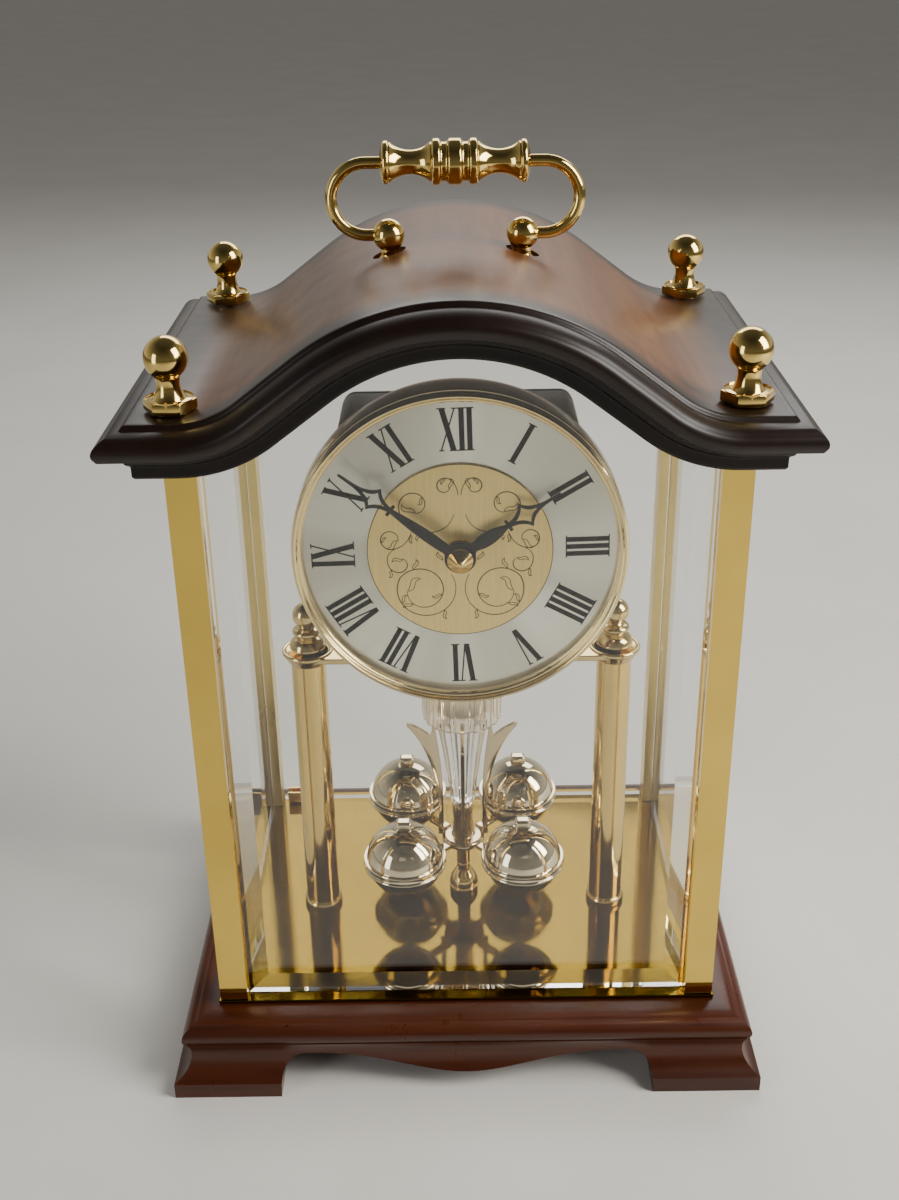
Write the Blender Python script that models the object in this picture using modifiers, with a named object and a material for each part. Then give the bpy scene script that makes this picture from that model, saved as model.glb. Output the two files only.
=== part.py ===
"""Anniversary clock in an arched mahogany and brass case, as separate working parts.

Metres, +Z up. The dial faces -Y. The origin is the middle of the base's underside.
"""

import math

import bmesh
import bpy
from mathutils import Matrix, Vector

# Fits
GAP = 0.0003
MERGE = 0.00002
ROD = 0.0015
ROD_HOLE = 0.0019

# Wooden base
BASE_X = 0.1068
BASE_Y = 0.0842
FOOT_LENGTH = 0.0386
BASE_TOP = 0.0295
FRAME_WIDTH = 0.0268
BOARD_Z = 0.0170
APRON_DROP_Z = 0.0080
APRON_TOP_Z = 0.0148
NUT_POCKET_Z = 0.0140
HEAD_THICK = 0.0025

# Brass floor plate
FLOOR_X = 0.0907
FLOOR_Y = 0.0681
FLOOR_TOP = 0.0310
FLOOR_THICK = 0.0012

# Corner posts and the rods inside them
POST_X = 0.0900
POST_Y = 0.0674
POST_WIDTH = 0.0100
POST_WALL = 0.0009
ROOF_Z = 0.2384
ROD_X = 0.0863
ROD_Y = 0.0640

# Glass
GLASS = 0.0030
GLASS_Y = 0.0620
GLASS_X = 0.0850
BEVEL_WIDTH = 0.0100
BEVEL_DEPTH = 0.0017
DOOR_TOP = 0.2375
DOOR_X = 0.0790
DOOR_PIN_X = 0.0760

# Roof: a crown arc, a straight flank and a reverse arc on each side, then a flat shoulder
ARCH_ANGLE = math.radians(37.0)
CROWN_RADIUS = 0.0630
FLANK = 0.0213
FOOT_RADIUS = 0.0490
FRIEZE_X = 0.0978
FRIEZE_Y = 0.0752
FRIEZE_THICK = 0.0076
LIP_X = 0.1070
LIP_Y = 0.0843
ROOF_THICK = 0.0176
FINIAL_BALL_Z = 0.2725
FINIAL_BALL = 0.0067

# Carrying handle
HANDLE_X = 0.0222
HANDLE_Z = 0.2940
HANDLE_BALL = 0.0053
HANDLE_RISE = 0.0230
WIRE = 0.00195
WIRE_TURN_X = 0.0289
GRIP_HALF = 0.0242
POCKET = 0.0055

# Movement bridge on its two columns
COLUMN_X = 0.0564
COLUMN_Y = -0.0095
COLUMN = 0.0064
BRIDGE_Z = 0.1422
BRIDGE_THICK = 0.0040
BRIDGE_END = 0.0094
BRIDGE_DISC = 0.0190
COLUMN_BALL_Z = 0.1598
COLUMN_BALL = 0.0048

# Dial and movement
DIAL_Z = 0.1954
BEZEL = 0.0568
DRUM = 0.0558
DIAL = 0.0542
CENTRE_DISC = 0.0314
DIAL_Y = -0.0325
DRUM_BACK_Y = -0.0204
BUSH_Y = -0.0165
HOUR_Y = -0.0380
MINUTE_Y = -0.0404
ARBOR = 0.0012
MINUTE_LENGTH = 0.0500
HOUR_LENGTH = 0.0400
MINUTE_ANGLE = math.radians(-52.0)
HOUR_ANGLE = math.radians(54.0)
MOVEMENT_X = 0.0405
MOVEMENT_TOP = 0.2384
MOVEMENT_BOTTOM = 0.1466
MOVEMENT_FRONT = -0.0201
MOVEMENT_BACK = 0.0070
CORNER = 0.0050
SHELL = 0.0020
KNOB_X = 0.0203
CENTRE_WHEEL = 0.0120

# Rotating pendulum
PENDULUM_Y = -0.0010
BALL_OFFSET = 0.0226
BALL_Z = 0.0614
BALL = 0.0148
BALL_RING = 0.0158
CUP_TOP = 0.0402
HUB_Z = 0.0532

MAHOGANY = ((0.085, 0.018, 0.008), 0.30, 0.0)
BRASS = ((0.80, 0.58, 0.20), 0.15, 1.0)
GLASS_TINT = ((0.93, 0.97, 0.95), 0.02, 0.0)
SILVERED = ((0.62, 0.62, 0.55), 0.35, 1.0)
GILT = ((0.60, 0.48, 0.22), 0.35, 1.0)
BLACK = ((0.012, 0.012, 0.014), 0.40, 0.0)
STEEL = ((0.55, 0.55, 0.56), 0.30, 1.0)
PLATED = ((0.78, 0.73, 0.62), 0.12, 1.0)
CLEAR = ((0.95, 0.95, 0.93), 0.05, 0.0)
OLIVE = ((0.14, 0.11, 0.07), 0.45, 0.0)
BOARD = ((0.22, 0.12, 0.06), 0.70, 0.0)
CIRCUIT = ((0.03, 0.16, 0.07), 0.50, 0.0)
CELL = ((0.08, 0.08, 0.09), 0.35, 0.5)
CORNERS = ((-1, -1), (1, -1), (1, 1), (-1, 1))
FRONT = (math.radians(90.0), 0.0, 0.0)
SIDEWAYS = (0.0, math.radians(90.0), 0.0)


# ---------------------------------------------------------------- helpers

def new_collection(name):
    collection = bpy.data.collections.new(name)
    bpy.context.scene.collection.children.link(collection)
    return collection


def material(name, finish):
    colour, roughness, metallic = finish
    made = bpy.data.materials.new(name)
    made.use_nodes = True
    shader = made.node_tree.nodes["Principled BSDF"]
    shader.inputs["Base Color"].default_value = (*colour, 1.0)
    shader.inputs["Roughness"].default_value = roughness
    shader.inputs["Metallic"].default_value = metallic
    if finish in (GLASS_TINT, CLEAR):
        shader.inputs["Transmission Weight"].default_value = 1.0
    made.diffuse_color = (*colour, 1.0)
    return made


def place(name, mesh, finish, location=(0, 0, 0), rotation=(0, 0, 0), parent=None):
    """Make an object from a mesh; without a finish it is a cutter."""
    obj = bpy.data.objects.new(name, mesh)
    obj.location = location
    obj.rotation_euler = rotation
    if finish is None:
        cutters.objects.link(obj)
        obj.hide_render = True
        obj.display_type = "WIRE"
    else:
        parts.objects.link(obj)
        mesh.materials.append(material(name, finish))
    if parent is not None:
        obj.parent = parent
        obj.location = Vector(location) - parent.location
    return obj


def from_bmesh(name, bm):
    bmesh.ops.recalc_face_normals(bm, faces=bm.faces)
    mesh = bpy.data.meshes.new(name)
    bm.to_mesh(mesh)
    bm.free()
    return mesh


def smooth(mesh, degrees=35.0):
    mesh.shade_smooth()
    mesh.set_sharp_from_angle(angle=math.radians(degrees))


def arc(cx, cz, radius, start, end, steps):
    """Points on an arc, angles in degrees, both ends included."""
    angles = [math.radians(start + (end - start) * i / steps) for i in range(steps + 1)]
    return [(cx + radius * math.cos(a), cz + radius * math.sin(a)) for a in angles]


def turned(name, profile, finish, location=(0, 0, 0), rotation=(0, 0, 0), steps=24,
           ring=False, parent=None):
    """Turn a profile of (radius, height) points, given from the top down its outer side."""
    mesh = bpy.data.meshes.new(name)
    edges = [(i, i + 1) for i in range(len(profile) - 1)]
    if ring:
        edges.append((len(profile) - 1, 0))
    mesh.from_pydata([(r, 0.0, z) for r, z in profile], edges, [])
    obj = place(name, mesh, finish, location, rotation, parent)
    screw = obj.modifiers.new("Turn", "SCREW")
    screw.steps = steps
    screw.render_steps = steps
    screw.use_merge_vertices = True
    screw.merge_threshold = MERGE
    screw.use_smooth_shade = True
    return obj


def tube_profile(outer, inner, top, bottom):
    return [(outer, top), (outer, bottom), (inner, bottom), (inner, top)]


def rod_profile(radius, top, bottom):
    return [(0.0, top), (radius, top), (radius, bottom), (0.0, bottom)]


def block(name, size, centre, finish, bevel=0.0, parent=None):
    bm = bmesh.new()
    bmesh.ops.create_cube(bm, size=1.0, matrix=Matrix.Diagonal((*size, 1.0)))
    obj = place(name, from_bmesh(name, bm), finish, centre, parent=parent)
    if bevel:
        soften = obj.modifiers.new("Edges", "BEVEL")
        soften.width = bevel
        soften.segments = 2
    return obj


def cylinders(name, holes, finish=None, steps=16, location=(0, 0, 0), rotation=(0, 0, 0)):
    """Separate upright cylinders in one object; each is (x, y, radius, bottom, top)."""
    bm = bmesh.new()
    for x, y, radius, bottom, top in holes:
        bmesh.ops.create_cone(
            bm, cap_ends=True, segments=steps, radius1=radius, radius2=radius,
            depth=top - bottom, matrix=Matrix.Translation((x, y, (top + bottom) / 2)))
    mesh = from_bmesh(name, bm)
    smooth(mesh)
    return place(name, mesh, finish, location, rotation)


def flat_piece(name, outlines, thickness, finish, location=(0, 0, 0), rotation=(0, 0, 0),
               parent=None):
    """Fill closed 2D outlines, holes included, and give them a thickness along local Z."""
    curve = bpy.data.curves.new(name, "CURVE")
    curve.dimensions = "2D"
    curve.fill_mode = "BOTH"
    curve.extrude = thickness / 2
    for outline in outlines:
        spline = curve.splines.new("POLY")
        spline.points.add(len(outline) - 1)
        for point, (x, y) in zip(spline.points, outline):
            point.co = (x, y, 0.0, 1.0)
        spline.use_cyclic_u = True
    drawn = bpy.data.objects.new(name + ".drawn", curve)
    cutters.objects.link(drawn)
    mesh = welded(drawn)
    mesh.name = name
    return place(name, mesh, finish, location, rotation, parent)


def welded(drawn):
    """Turn a curve object into a closed mesh and remove the curve."""
    bpy.context.view_layer.update()
    evaluated = drawn.evaluated_get(bpy.context.evaluated_depsgraph_get())
    mesh = bpy.data.meshes.new_from_object(evaluated)
    mesh.transform(drawn.matrix_world)
    bm = bmesh.new()
    bm.from_mesh(mesh)
    bmesh.ops.remove_doubles(bm, verts=bm.verts, dist=MERGE / 4)
    bmesh.ops.recalc_face_normals(bm, faces=bm.faces)
    bm.to_mesh(mesh)
    bm.free()
    mesh.materials.clear()
    bpy.data.objects.remove(drawn)
    return mesh


def combine(target, tool, operation="DIFFERENCE"):
    boolean = target.modifiers.new(operation.title(), "BOOLEAN")
    boolean.operation = operation
    boolean.object = tool


def mirrored(half):
    """Close an outline given for x >= 0 with its mirror image."""
    return half + [(-x, y) for x, y in reversed(half) if abs(x) > MERGE]


def fluted(radius, flutes, depth, per_flute=4):
    count = flutes * per_flute
    outline = []
    for i in range(count):
        angle = 2 * math.pi * i / count
        reach = radius - depth * abs(math.sin(flutes * angle / 2))
        outline.append((reach * math.cos(angle), reach * math.sin(angle)))
    return outline


def moulded_block(half_x, half_y, section):
    """Stack rectangles given as (inset, height) from the bottom up into one solid."""
    bm = bmesh.new()
    bmesh.ops.create_grid(bm, x_segments=1, y_segments=1, size=1.0)
    top = list(bm.faces)[0]
    for level, (inset, height) in enumerate(section):
        if level:
            below = top
            made = bmesh.ops.extrude_face_region(bm, geom=[below])["geom"]
            top = next(part for part in made if isinstance(part, bmesh.types.BMFace))
        if level > 1:
            bmesh.ops.delete(bm, geom=[below], context="FACES_ONLY")
        for vert in top.verts:
            side_x = 1 if vert.co.x > 0 else -1
            side_y = 1 if vert.co.y > 0 else -1
            vert.co = (side_x * (half_x - inset), side_y * (half_y - inset), height)
    return bm


# ---------------------------------------------------------------- wooden base

def apron_outline(foot_inner, bottom):
    """The opening between two feet: an ogee that drops in the middle."""
    shoulder = foot_inner - 0.0100
    haunch = 0.0050
    half = []
    for i in range(9):
        x = (shoulder - 0.002) * i / 8
        blend = (1 - math.cos(math.pi * i / 8)) / 2
        half.append((x, APRON_DROP_Z + (APRON_TOP_Z - APRON_DROP_Z) * blend))
    turn = arc(0.0, 0.0, 1.0, 90, 8, 5)
    reach = foot_inner - 0.0005 - shoulder
    rise = APRON_TOP_Z - haunch
    half += [(shoulder + reach * x, haunch + rise * z) for x, z in turn]
    half.append((foot_inner, bottom))
    return mirrored(half)


def build_base():
    section = [(0.0, 0.0), (0.0, 0.0063), (0.0010, 0.0070), (0.0036, 0.0090),
               (0.0058, 0.0120), (0.0070, 0.0160), (0.0070, 0.0192), (0.0046, 0.0204),
               (0.0038, 0.0238), (0.0046, 0.0256), (0.0066, 0.0272), (0.0100, 0.0286),
               (0.0140, BASE_TOP)]
    frame = place("base_frame", from_bmesh("base_frame", moulded_block(BASE_X, BASE_Y, section)),
                  MAHOGANY)
    hole_x = BASE_X - FRAME_WIDTH
    hole_y = BASE_Y - FRAME_WIDTH
    combine(frame, block("base_hollow.cut", (2 * hole_x, 2 * hole_y, 0.1), (0, 0, 0), None))
    front = apron_outline(BASE_X - FOOT_LENGTH, -0.01)
    side = apron_outline(BASE_Y - FOOT_LENGTH, -0.01)
    combine(frame, flat_piece("apron_front.cut", [front], 0.3, None, rotation=FRONT))
    combine(frame, flat_piece("apron_side.cut", [side], 0.3, None,
                              rotation=(math.radians(90.0), 0.0, math.radians(90.0))))
    holes = [(sx * ROD_X, sy * ROD_Y, ROD_HOLE, 0.0, 0.1) for sx, sy in CORNERS]
    pockets = [(sx * ROD_X, sy * ROD_Y, 0.0042, -0.01, NUT_POCKET_Z) for sx, sy in CORNERS]
    combine(frame, cylinders("base_rods.cut", holes))
    combine(frame, cylinders("base_pockets.cut", pockets))

    board = block("base_board",
                  (2 * (hole_x - GAP), 2 * (hole_y - GAP), BASE_TOP - BOARD_Z),
                  (0, 0, (BASE_TOP + BOARD_Z) / 2), BOARD)
    rods = [(s * COLUMN_X, COLUMN_Y, ROD_HOLE, 0.0, 0.1) for s in (-1, 1)]
    combine(board, cylinders("board_rods.cut", rods))


def build_floor():
    floor = block("floor_plate", (2 * FLOOR_X, 2 * FLOOR_Y, FLOOR_THICK),
                  (0, 0, FLOOR_TOP - FLOOR_THICK / 2), BRASS, bevel=0.0003)
    holes = [(sx * ROD_X, sy * ROD_Y, ROD_HOLE, 0.0, 0.1) for sx, sy in CORNERS]
    holes += [(s * COLUMN_X, COLUMN_Y, ROD_HOLE, 0.0, 0.1) for s in (-1, 1)]
    holes.append((-DOOR_PIN_X, GLASS_Y, 0.0016, 0.0, 0.1))
    combine(floor, cylinders("floor_holes.cut", holes))


# ---------------------------------------------------------------- posts and rods

def build_posts():
    names = ("post_front_left", "post_front_right", "post_rear_right", "post_rear_left")
    height = ROOF_Z - FLOOR_TOP - 2 * GAP
    inner = POST_WIDTH - 2 * POST_WALL
    for name, (sx, sy) in zip(names, CORNERS):
        centre = (sx * (POST_X - POST_WIDTH / 2), sy * (POST_Y - POST_WIDTH / 2),
                  FLOOR_TOP + GAP + height / 2)
        post = block(name, (POST_WIDTH, POST_WIDTH, height), centre, BRASS)
        combine(post, block(name + ".cut", (inner, inner, 2 * height), centre, None))


def bolt(name, x, y, head_z, top):
    """A long bolt with its hexagonal head underneath."""
    made = turned(name, rod_profile(ROD, top, head_z - HEAD_THICK / 2), STEEL, (x, y, 0.0),
                  steps=12)
    head = cylinders(name + "_head.add", [(x, y, 0.0034, head_z - HEAD_THICK, head_z)], steps=6)
    combine(made, head, "UNION")


def build_bolts():
    names = ("tie_bolt_front_left", "tie_bolt_front_right", "tie_bolt_rear_right",
             "tie_bolt_rear_left")
    for name, (sx, sy) in zip(names, CORNERS):
        bolt(name, sx * ROD_X, sy * ROD_Y, NUT_POCKET_Z - GAP, 0.2620)
    for name, side in (("column_bolt_left", -1), ("column_bolt_right", 1)):
        bolt(name, side * COLUMN_X, COLUMN_Y, BOARD_Z - GAP, 0.1540)


# ---------------------------------------------------------------- arched roof

REVERSE_START = CROWN_RADIUS * ARCH_ANGLE + FLANK
SHOULDER_START = REVERSE_START + FOOT_RADIUS * ARCH_ANGLE
SIN = math.sin(ARCH_ANGLE)
COS = math.cos(ARCH_ANGLE)
SHOULDER_X = (CROWN_RADIUS + FOOT_RADIUS) * SIN + FLANK * COS
ARCH_RISE = (CROWN_RADIUS + FOOT_RADIUS) * (1 - COS) + FLANK * SIN
STRETCH = SHOULDER_START - SHOULDER_X
CROWN_Z = ROOF_Z + ARCH_RISE


def arched(run, offset):
    """Where a point at a run along the arch, and an offset above it, lies in X and Z."""
    side = -1 if run < 0 else 1
    run = abs(run)
    if run < CROWN_RADIUS * ARCH_ANGLE:
        angle = run / CROWN_RADIUS
        reach = CROWN_RADIUS + offset
        x = reach * math.sin(angle)
        z = CROWN_Z - CROWN_RADIUS + reach * math.cos(angle)
    elif run < REVERSE_START:
        down = run - CROWN_RADIUS * ARCH_ANGLE
        x = (CROWN_RADIUS + offset) * SIN + down * COS
        z = CROWN_Z - CROWN_RADIUS + (CROWN_RADIUS + offset) * COS - down * SIN
    elif run < SHOULDER_START:
        angle = ARCH_ANGLE - (run - REVERSE_START) / FOOT_RADIUS
        reach = FOOT_RADIUS - offset
        x = SHOULDER_X - reach * math.sin(angle)
        z = ROOF_Z + FOOT_RADIUS - reach * math.cos(angle)
    else:
        x = run - STRETCH
        z = ROOF_Z + offset
    return side * x, z


def stations():
    """Runs along one side of the arch where the roof is divided to bend smoothly."""
    crown = [CROWN_RADIUS * ARCH_ANGLE * i / 6 for i in range(7)]
    foot = [REVERSE_START + (SHOULDER_START - REVERSE_START) * i / 5 for i in range(6)]
    return crown + foot


def bend(bm):
    for run in stations():
        for side in ((1,) if run == 0 else (-1, 1)):
            geometry = list(bm.verts) + list(bm.edges) + list(bm.faces)
            bmesh.ops.bisect_plane(bm, geom=geometry, plane_co=(side * run, 0, 0),
                                   plane_no=(1, 0, 0))
    for vert in bm.verts:
        x, z = arched(vert.co.x, vert.co.z)
        vert.co = (x, vert.co.y, z)


def build_roof():
    section = [(0.0008, 0.0), (0.0, 0.0008), (0.0, 0.0042), (-0.0014, 0.0052),
               (-0.0022, FRIEZE_THICK - GAP)]
    bm = moulded_block(FRIEZE_X + STRETCH, FRIEZE_Y, section)
    bend(bm)
    frieze = place("roof_frieze", from_bmesh("roof_frieze", bm), MAHOGANY)
    section = [(0.0030, FRIEZE_THICK), (0.0010, 0.0083), (0.0, 0.0108), (0.0008, 0.0128),
               (0.0030, 0.0146), (0.0062, 0.0158), (0.0072, 0.0160), (0.0080, 0.0170),
               (0.0092, ROOF_THICK)]
    bm = moulded_block(LIP_X + STRETCH, LIP_Y, section)
    bend(bm)
    cap = place("roof_cap", from_bmesh("roof_cap", bm), MAHOGANY)

    holes = [(sx * ROD_X, sy * ROD_Y, ROD_HOLE, 0.2, 0.3) for sx, sy in CORNERS]
    holes += [(s * HANDLE_X, 0.0, ROD_HOLE, 0.2, 0.3) for s in (-1, 1)]
    bores = cylinders("roof_rods.cut", holes)
    combine(frieze, bores)
    combine(cap, bores)
    pin_hole = [(-DOOR_PIN_X, GLASS_Y, 0.0016, 0.2, ROOF_Z + 0.0035)]
    combine(frieze, cylinders("frieze_pin_hole.cut", pin_hole))
    sockets = [(s * HANDLE_X, 0.0, POCKET, 0.2845, 0.3) for s in (-1, 1)]
    combine(cap, cylinders("handle_pockets.cut", sockets, steps=24))


def build_finials():
    roof_top = ROOF_Z + ROOF_THICK
    names = ("finial_front_left", "finial_front_right", "finial_rear_right", "finial_rear_left")
    neck = 0.0040
    ball = arc(0.0, FINIAL_BALL_Z, FINIAL_BALL, 90, -56, 9)
    flare = arc(0.0118, 0.2642, 0.0079, 176, 232, 4)
    profile = ball + [(neck, 0.2662)] + flare + [(0.0070, 0.2574), (0.0, 0.2574)]
    for name, (sx, sy) in zip(names, CORNERS):
        finial = turned(name, profile, BRASS, (sx * ROD_X, sy * ROD_Y, 0.0), steps=20)
        bm = bmesh.new()
        bmesh.ops.create_cone(bm, cap_ends=True, segments=6, radius1=0.0080, radius2=0.0080,
                              depth=0.0026)
        nut = place(name + ".hex", from_bmesh(name + ".hex", bm), None,
                    (sx * ROD_X, sy * ROD_Y, roof_top + 0.0010 + 0.0013))
        combine(finial, nut, "UNION")
        washer = cylinders(name + ".washer", [(sx * ROD_X, sy * ROD_Y, 0.0060,
                                               roof_top + 2 * GAP, roof_top + 0.0012)], steps=20)
        combine(finial, washer, "UNION")
        bore = cylinders(name + ".cut", [(sx * ROD_X, sy * ROD_Y, ROD_HOLE, 0.2, 0.2626)])
        combine(finial, bore)


# ---------------------------------------------------------------- carrying handle

def build_handle(pivot):
    for name, side in (("handle_post_left", -1), ("handle_post_right", 1)):
        profile = arc(0.0, HANDLE_Z, HANDLE_BALL, 90, -58, 9)
        profile += [(0.0027, 0.2878), (0.0030, 0.2868), (0.0046, 0.2854), (0.0046, 0.2848),
                    (ROD, 0.2848), (ROD, 0.2690), (0.0, 0.2690)]
        post = turned(name, profile, BRASS, (side * HANDLE_X, 0.0, 0.0), steps=20)
        hole = turned(name + ".cut", rod_profile(WIRE + GAP, 0.0300, 0.0180), None,
                      (0.0, 0.0, HANDLE_Z), (0.0, side * math.radians(90.0), 0.0), steps=12)
        combine(post, hole)

    turn = arc(WIRE_TURN_X, HANDLE_RISE / 2, HANDLE_RISE / 2, -90, 90, 8)
    half = [(0.0185, 0.0)] + turn
    path = [(-x, z) for x, z in half] + [(x, z) for x, z in reversed(half)]
    curve = bpy.data.curves.new("handle_bail", "CURVE")
    curve.dimensions = "3D"
    curve.bevel_depth = WIRE
    curve.bevel_resolution = 2
    curve.use_fill_caps = True
    spline = curve.splines.new("POLY")
    spline.points.add(len(path) - 1)
    for point, (x, z) in zip(spline.points, path):
        point.co = (x, 0.0, z, 1.0)
    drawn = bpy.data.objects.new("handle_bail.drawn", curve)
    cutters.objects.link(drawn)
    mesh = welded(drawn)
    smooth(mesh)
    place("handle_bail", mesh, BRASS, pivot.location, parent=pivot)

    bore = WIRE + GAP
    flange = 0.0068
    ring = 0.0073
    half = [(0.0028, GRIP_HALF), (flange, 0.0224), (flange, 0.0216)]
    half += arc(0.0118, 0.0142, 0.0079, 130, 230, 6)
    half += [(ring, 0.0068), (ring, 0.0050), (0.0062, 0.0042), (0.0060, 0.0030),
             (0.0062, 0.0018), (ring, 0.0009)]
    outer = half + [(r, -z) for r, z in reversed(half)]
    profile = outer + [(bore, -GRIP_HALF), (bore, GRIP_HALF)]
    turned("handle_grip", profile, BRASS, (0.0, 0.0, HANDLE_Z + HANDLE_RISE), SIDEWAYS,
           steps=20, ring=True, parent=pivot)


# ---------------------------------------------------------------- glass and door

def pane(name, width, bottom, top, location, rotation=(0, 0, 0), bevel=BEVEL_WIDTH, parent=None):
    """An upright pane whose outer face, towards local -Y, is bevelled all round."""
    bm = bmesh.new()
    size = Matrix.Diagonal((width, GLASS, top - bottom, 1.0))
    bmesh.ops.create_cube(bm, size=1.0, matrix=size)
    outer = next(face for face in bm.faces if face.normal.y < -0.5)
    edge = list(outer.verts)
    bmesh.ops.inset_region(bm, faces=[outer], thickness=bevel)
    for vert in edge:
        vert.co.y += bevel * BEVEL_DEPTH / BEVEL_WIDTH
    x, y = location
    return place(name, from_bmesh(name, bm), GLASS_TINT, (x, y, (top + bottom) / 2), rotation, parent)


def build_glass():
    bottom = FLOOR_TOP + GAP
    front = pane("glass_front", 2 * (POST_X - POST_WIDTH - GAP), bottom, CROWN_Z + 0.012,
                 (0.0, -GLASS_Y))
    runs = [-run for run in reversed(stations()[1:])] + stations()
    under = [arched(run, -GAP) for run in runs]
    outline = [(-0.1, 0.0), (-0.1, ROOF_Z - GAP)] + under + [(0.1, ROOF_Z - GAP), (0.1, 0.0)]
    opening = flat_piece("arch_opening.cut", [outline], 0.05, None, (0.0, -GLASS_Y, 0.0), FRONT)
    combine(front, opening, "INTERSECT")
    span = 2 * (POST_Y - POST_WIDTH - GAP)
    quarter = math.radians(90.0)
    pane("glass_left", span, bottom, ROOF_Z - GAP, (-GLASS_X, 0.0), (0, 0, -quarter))
    pane("glass_right", span, bottom, ROOF_Z - GAP, (GLASS_X, 0.0), (0, 0, quarter))


def build_door(pivot):
    bottom = FLOOR_TOP + 0.0020
    top = DOOR_TOP - 0.0014
    pane("door_glass", 2 * DOOR_X, bottom, top, (0.0, GLASS_Y), (0, 0, math.radians(180.0)),
         0.0020, pivot)

    size = (0.0076, GLASS + 0.0022, 0.0050)
    slot_height = top - bottom + 2 * GAP
    slot = block("clip_slot.cut", (0.05, GLASS + 2 * GAP, slot_height),
                 (-DOOR_PIN_X, GLASS_Y, (top + bottom) / 2), None)
    low = (bottom + size[2] / 2 - 0.0012, 0.0302, bottom - 0.0006)
    high = (top - size[2] / 2 + 0.0012, top + 0.0006, ROOF_Z + 0.0030)
    for name, (middle, pin_low, pin_high) in (("door_clip_lower", low), ("door_clip_upper", high)):
        clip = block(name, size, (-DOOR_PIN_X + 0.0024, GLASS_Y, middle), BRASS, parent=pivot)
        combine(clip, slot)
        pin = cylinders(name + "_pin.add", [(-DOOR_PIN_X, GLASS_Y, 0.0012, pin_low, pin_high)],
                        steps=12)
        combine(clip, pin, "UNION")

    profile = [(0.0, 0.0100)] + arc(0.0, 0.0068, 0.0034, 80, -50, 6)
    profile += [(0.0016, 0.0035), (0.0016, 0.0018), (0.0036, 0.0012), (0.0036, GAP), (0.0, GAP)]
    turned("door_knob", profile, BRASS, (0.0600, GLASS_Y + GLASS / 2, 0.1650),
           (math.radians(-90.0), 0.0, 0.0), steps=16, parent=pivot)


# ---------------------------------------------------------------- bridge and columns

def build_bridge():
    foot = FLOOR_TOP + GAP
    inner = COLUMN - 0.0008
    profile = [(COLUMN, BRIDGE_Z - GAP), (COLUMN, 0.0341), (0.0068, 0.0340), (0.0074, 0.0332),
               (0.0074, foot), (inner, foot), (inner, BRIDGE_Z - GAP)]
    for name, side in (("column_left", -1), ("column_right", 1)):
        turned(name, profile, BRASS, (side * COLUMN_X, COLUMN_Y, 0.0), steps=24, ring=True)

    ends = arc(COLUMN_X, 0.0, BRIDGE_END, -90, 90, 8)
    bridge = flat_piece("bridge_plate", [mirrored(ends)], BRIDGE_THICK, BRASS,
                        (0.0, COLUMN_Y, BRIDGE_Z + BRIDGE_THICK / 2))
    disc = cylinders("bridge_disc.add", [(0.0, PENDULUM_Y, BRIDGE_DISC, BRIDGE_Z,
                                          BRIDGE_Z + BRIDGE_THICK)], steps=32)
    combine(bridge, disc, "UNION")
    holes = [(s * COLUMN_X, COLUMN_Y, ROD_HOLE, 0.1, 0.2) for s in (-1, 1)]
    holes.append((0.0, PENDULUM_Y, 0.0030, 0.1, 0.2))
    combine(bridge, cylinders("bridge_holes.cut", holes))

    base = BRIDGE_Z + BRIDGE_THICK + GAP
    bore = ROD_HOLE
    ball = arc(0.0, COLUMN_BALL_Z, COLUMN_BALL, 90, -52, 8)
    for name, side in (("column_finial_left", -1), ("column_finial_right", 1)):
        profile = ball + [(0.0028, 0.1555), (0.0042, 0.1546), (0.0050, 0.1530), (0.0042, 0.1515),
                          (0.0036, 0.1508), (0.0056, 0.1496), (0.0064, 0.1480), (0.0064, base),
                          (bore, base), (bore, 0.1545), (0.0, 0.1545)]
        turned(name, profile, BRASS, (side * COLUMN_X, COLUMN_Y, 0.0), steps=20)


# ---------------------------------------------------------------- dial and hands

def towards_front(y):
    """Location of a dial piece whose local +Z points to the front."""
    return (0.0, y, DIAL_Z)


def build_dial():
    wall = 0.0008
    depth = DRUM_BACK_Y - DIAL_Y
    profile = [(DRUM, depth + 0.0022), (DRUM, 0.0), (0.0042, 0.0), (0.0042, wall),
               (DRUM - wall, wall), (DRUM - wall, depth + 0.0022)]
    turned("dial_drum", profile, BRASS, towards_front(DRUM_BACK_Y), FRONT, steps=48, ring=True)

    lip = depth + 0.0022 + GAP
    profile = [(BEZEL - 0.0021, lip + 0.0036), (BEZEL - 0.0010, lip + 0.0040),
               (BEZEL - 0.0006, lip + 0.0030), (BEZEL, lip + 0.0022), (BEZEL, lip),
               (BEZEL - 0.0032, lip), (BEZEL - 0.0032, lip + 0.0012),
               (BEZEL - 0.0024, lip + 0.0024)]
    turned("dial_bezel", profile, BRASS, towards_front(DRUM_BACK_Y), FRONT, steps=48, ring=True)

    turned("dial_plate", tube_profile(DIAL, 0.0042, 0.0010, 0.0), SILVERED,
           towards_front(DIAL_Y), FRONT, steps=48, ring=True)
    turned("dial_centre_disc", tube_profile(CENTRE_DISC, 0.0042, 0.0006, 0.0), GILT,
           towards_front(DIAL_Y - 0.0010 - GAP), FRONT, steps=48, ring=True)

    thread = 0.0038
    profile = [(thread, 0.0207), (thread, 0.0198), (0.0050, 0.0198), (0.0050, 0.0182),
               (thread, 0.0182), (thread, 0.0), (0.0027, 0.0), (0.0027, 0.0207)]
    turned("hand_bush", profile, BRASS, towards_front(BUSH_Y), FRONT, steps=20, ring=True)


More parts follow.
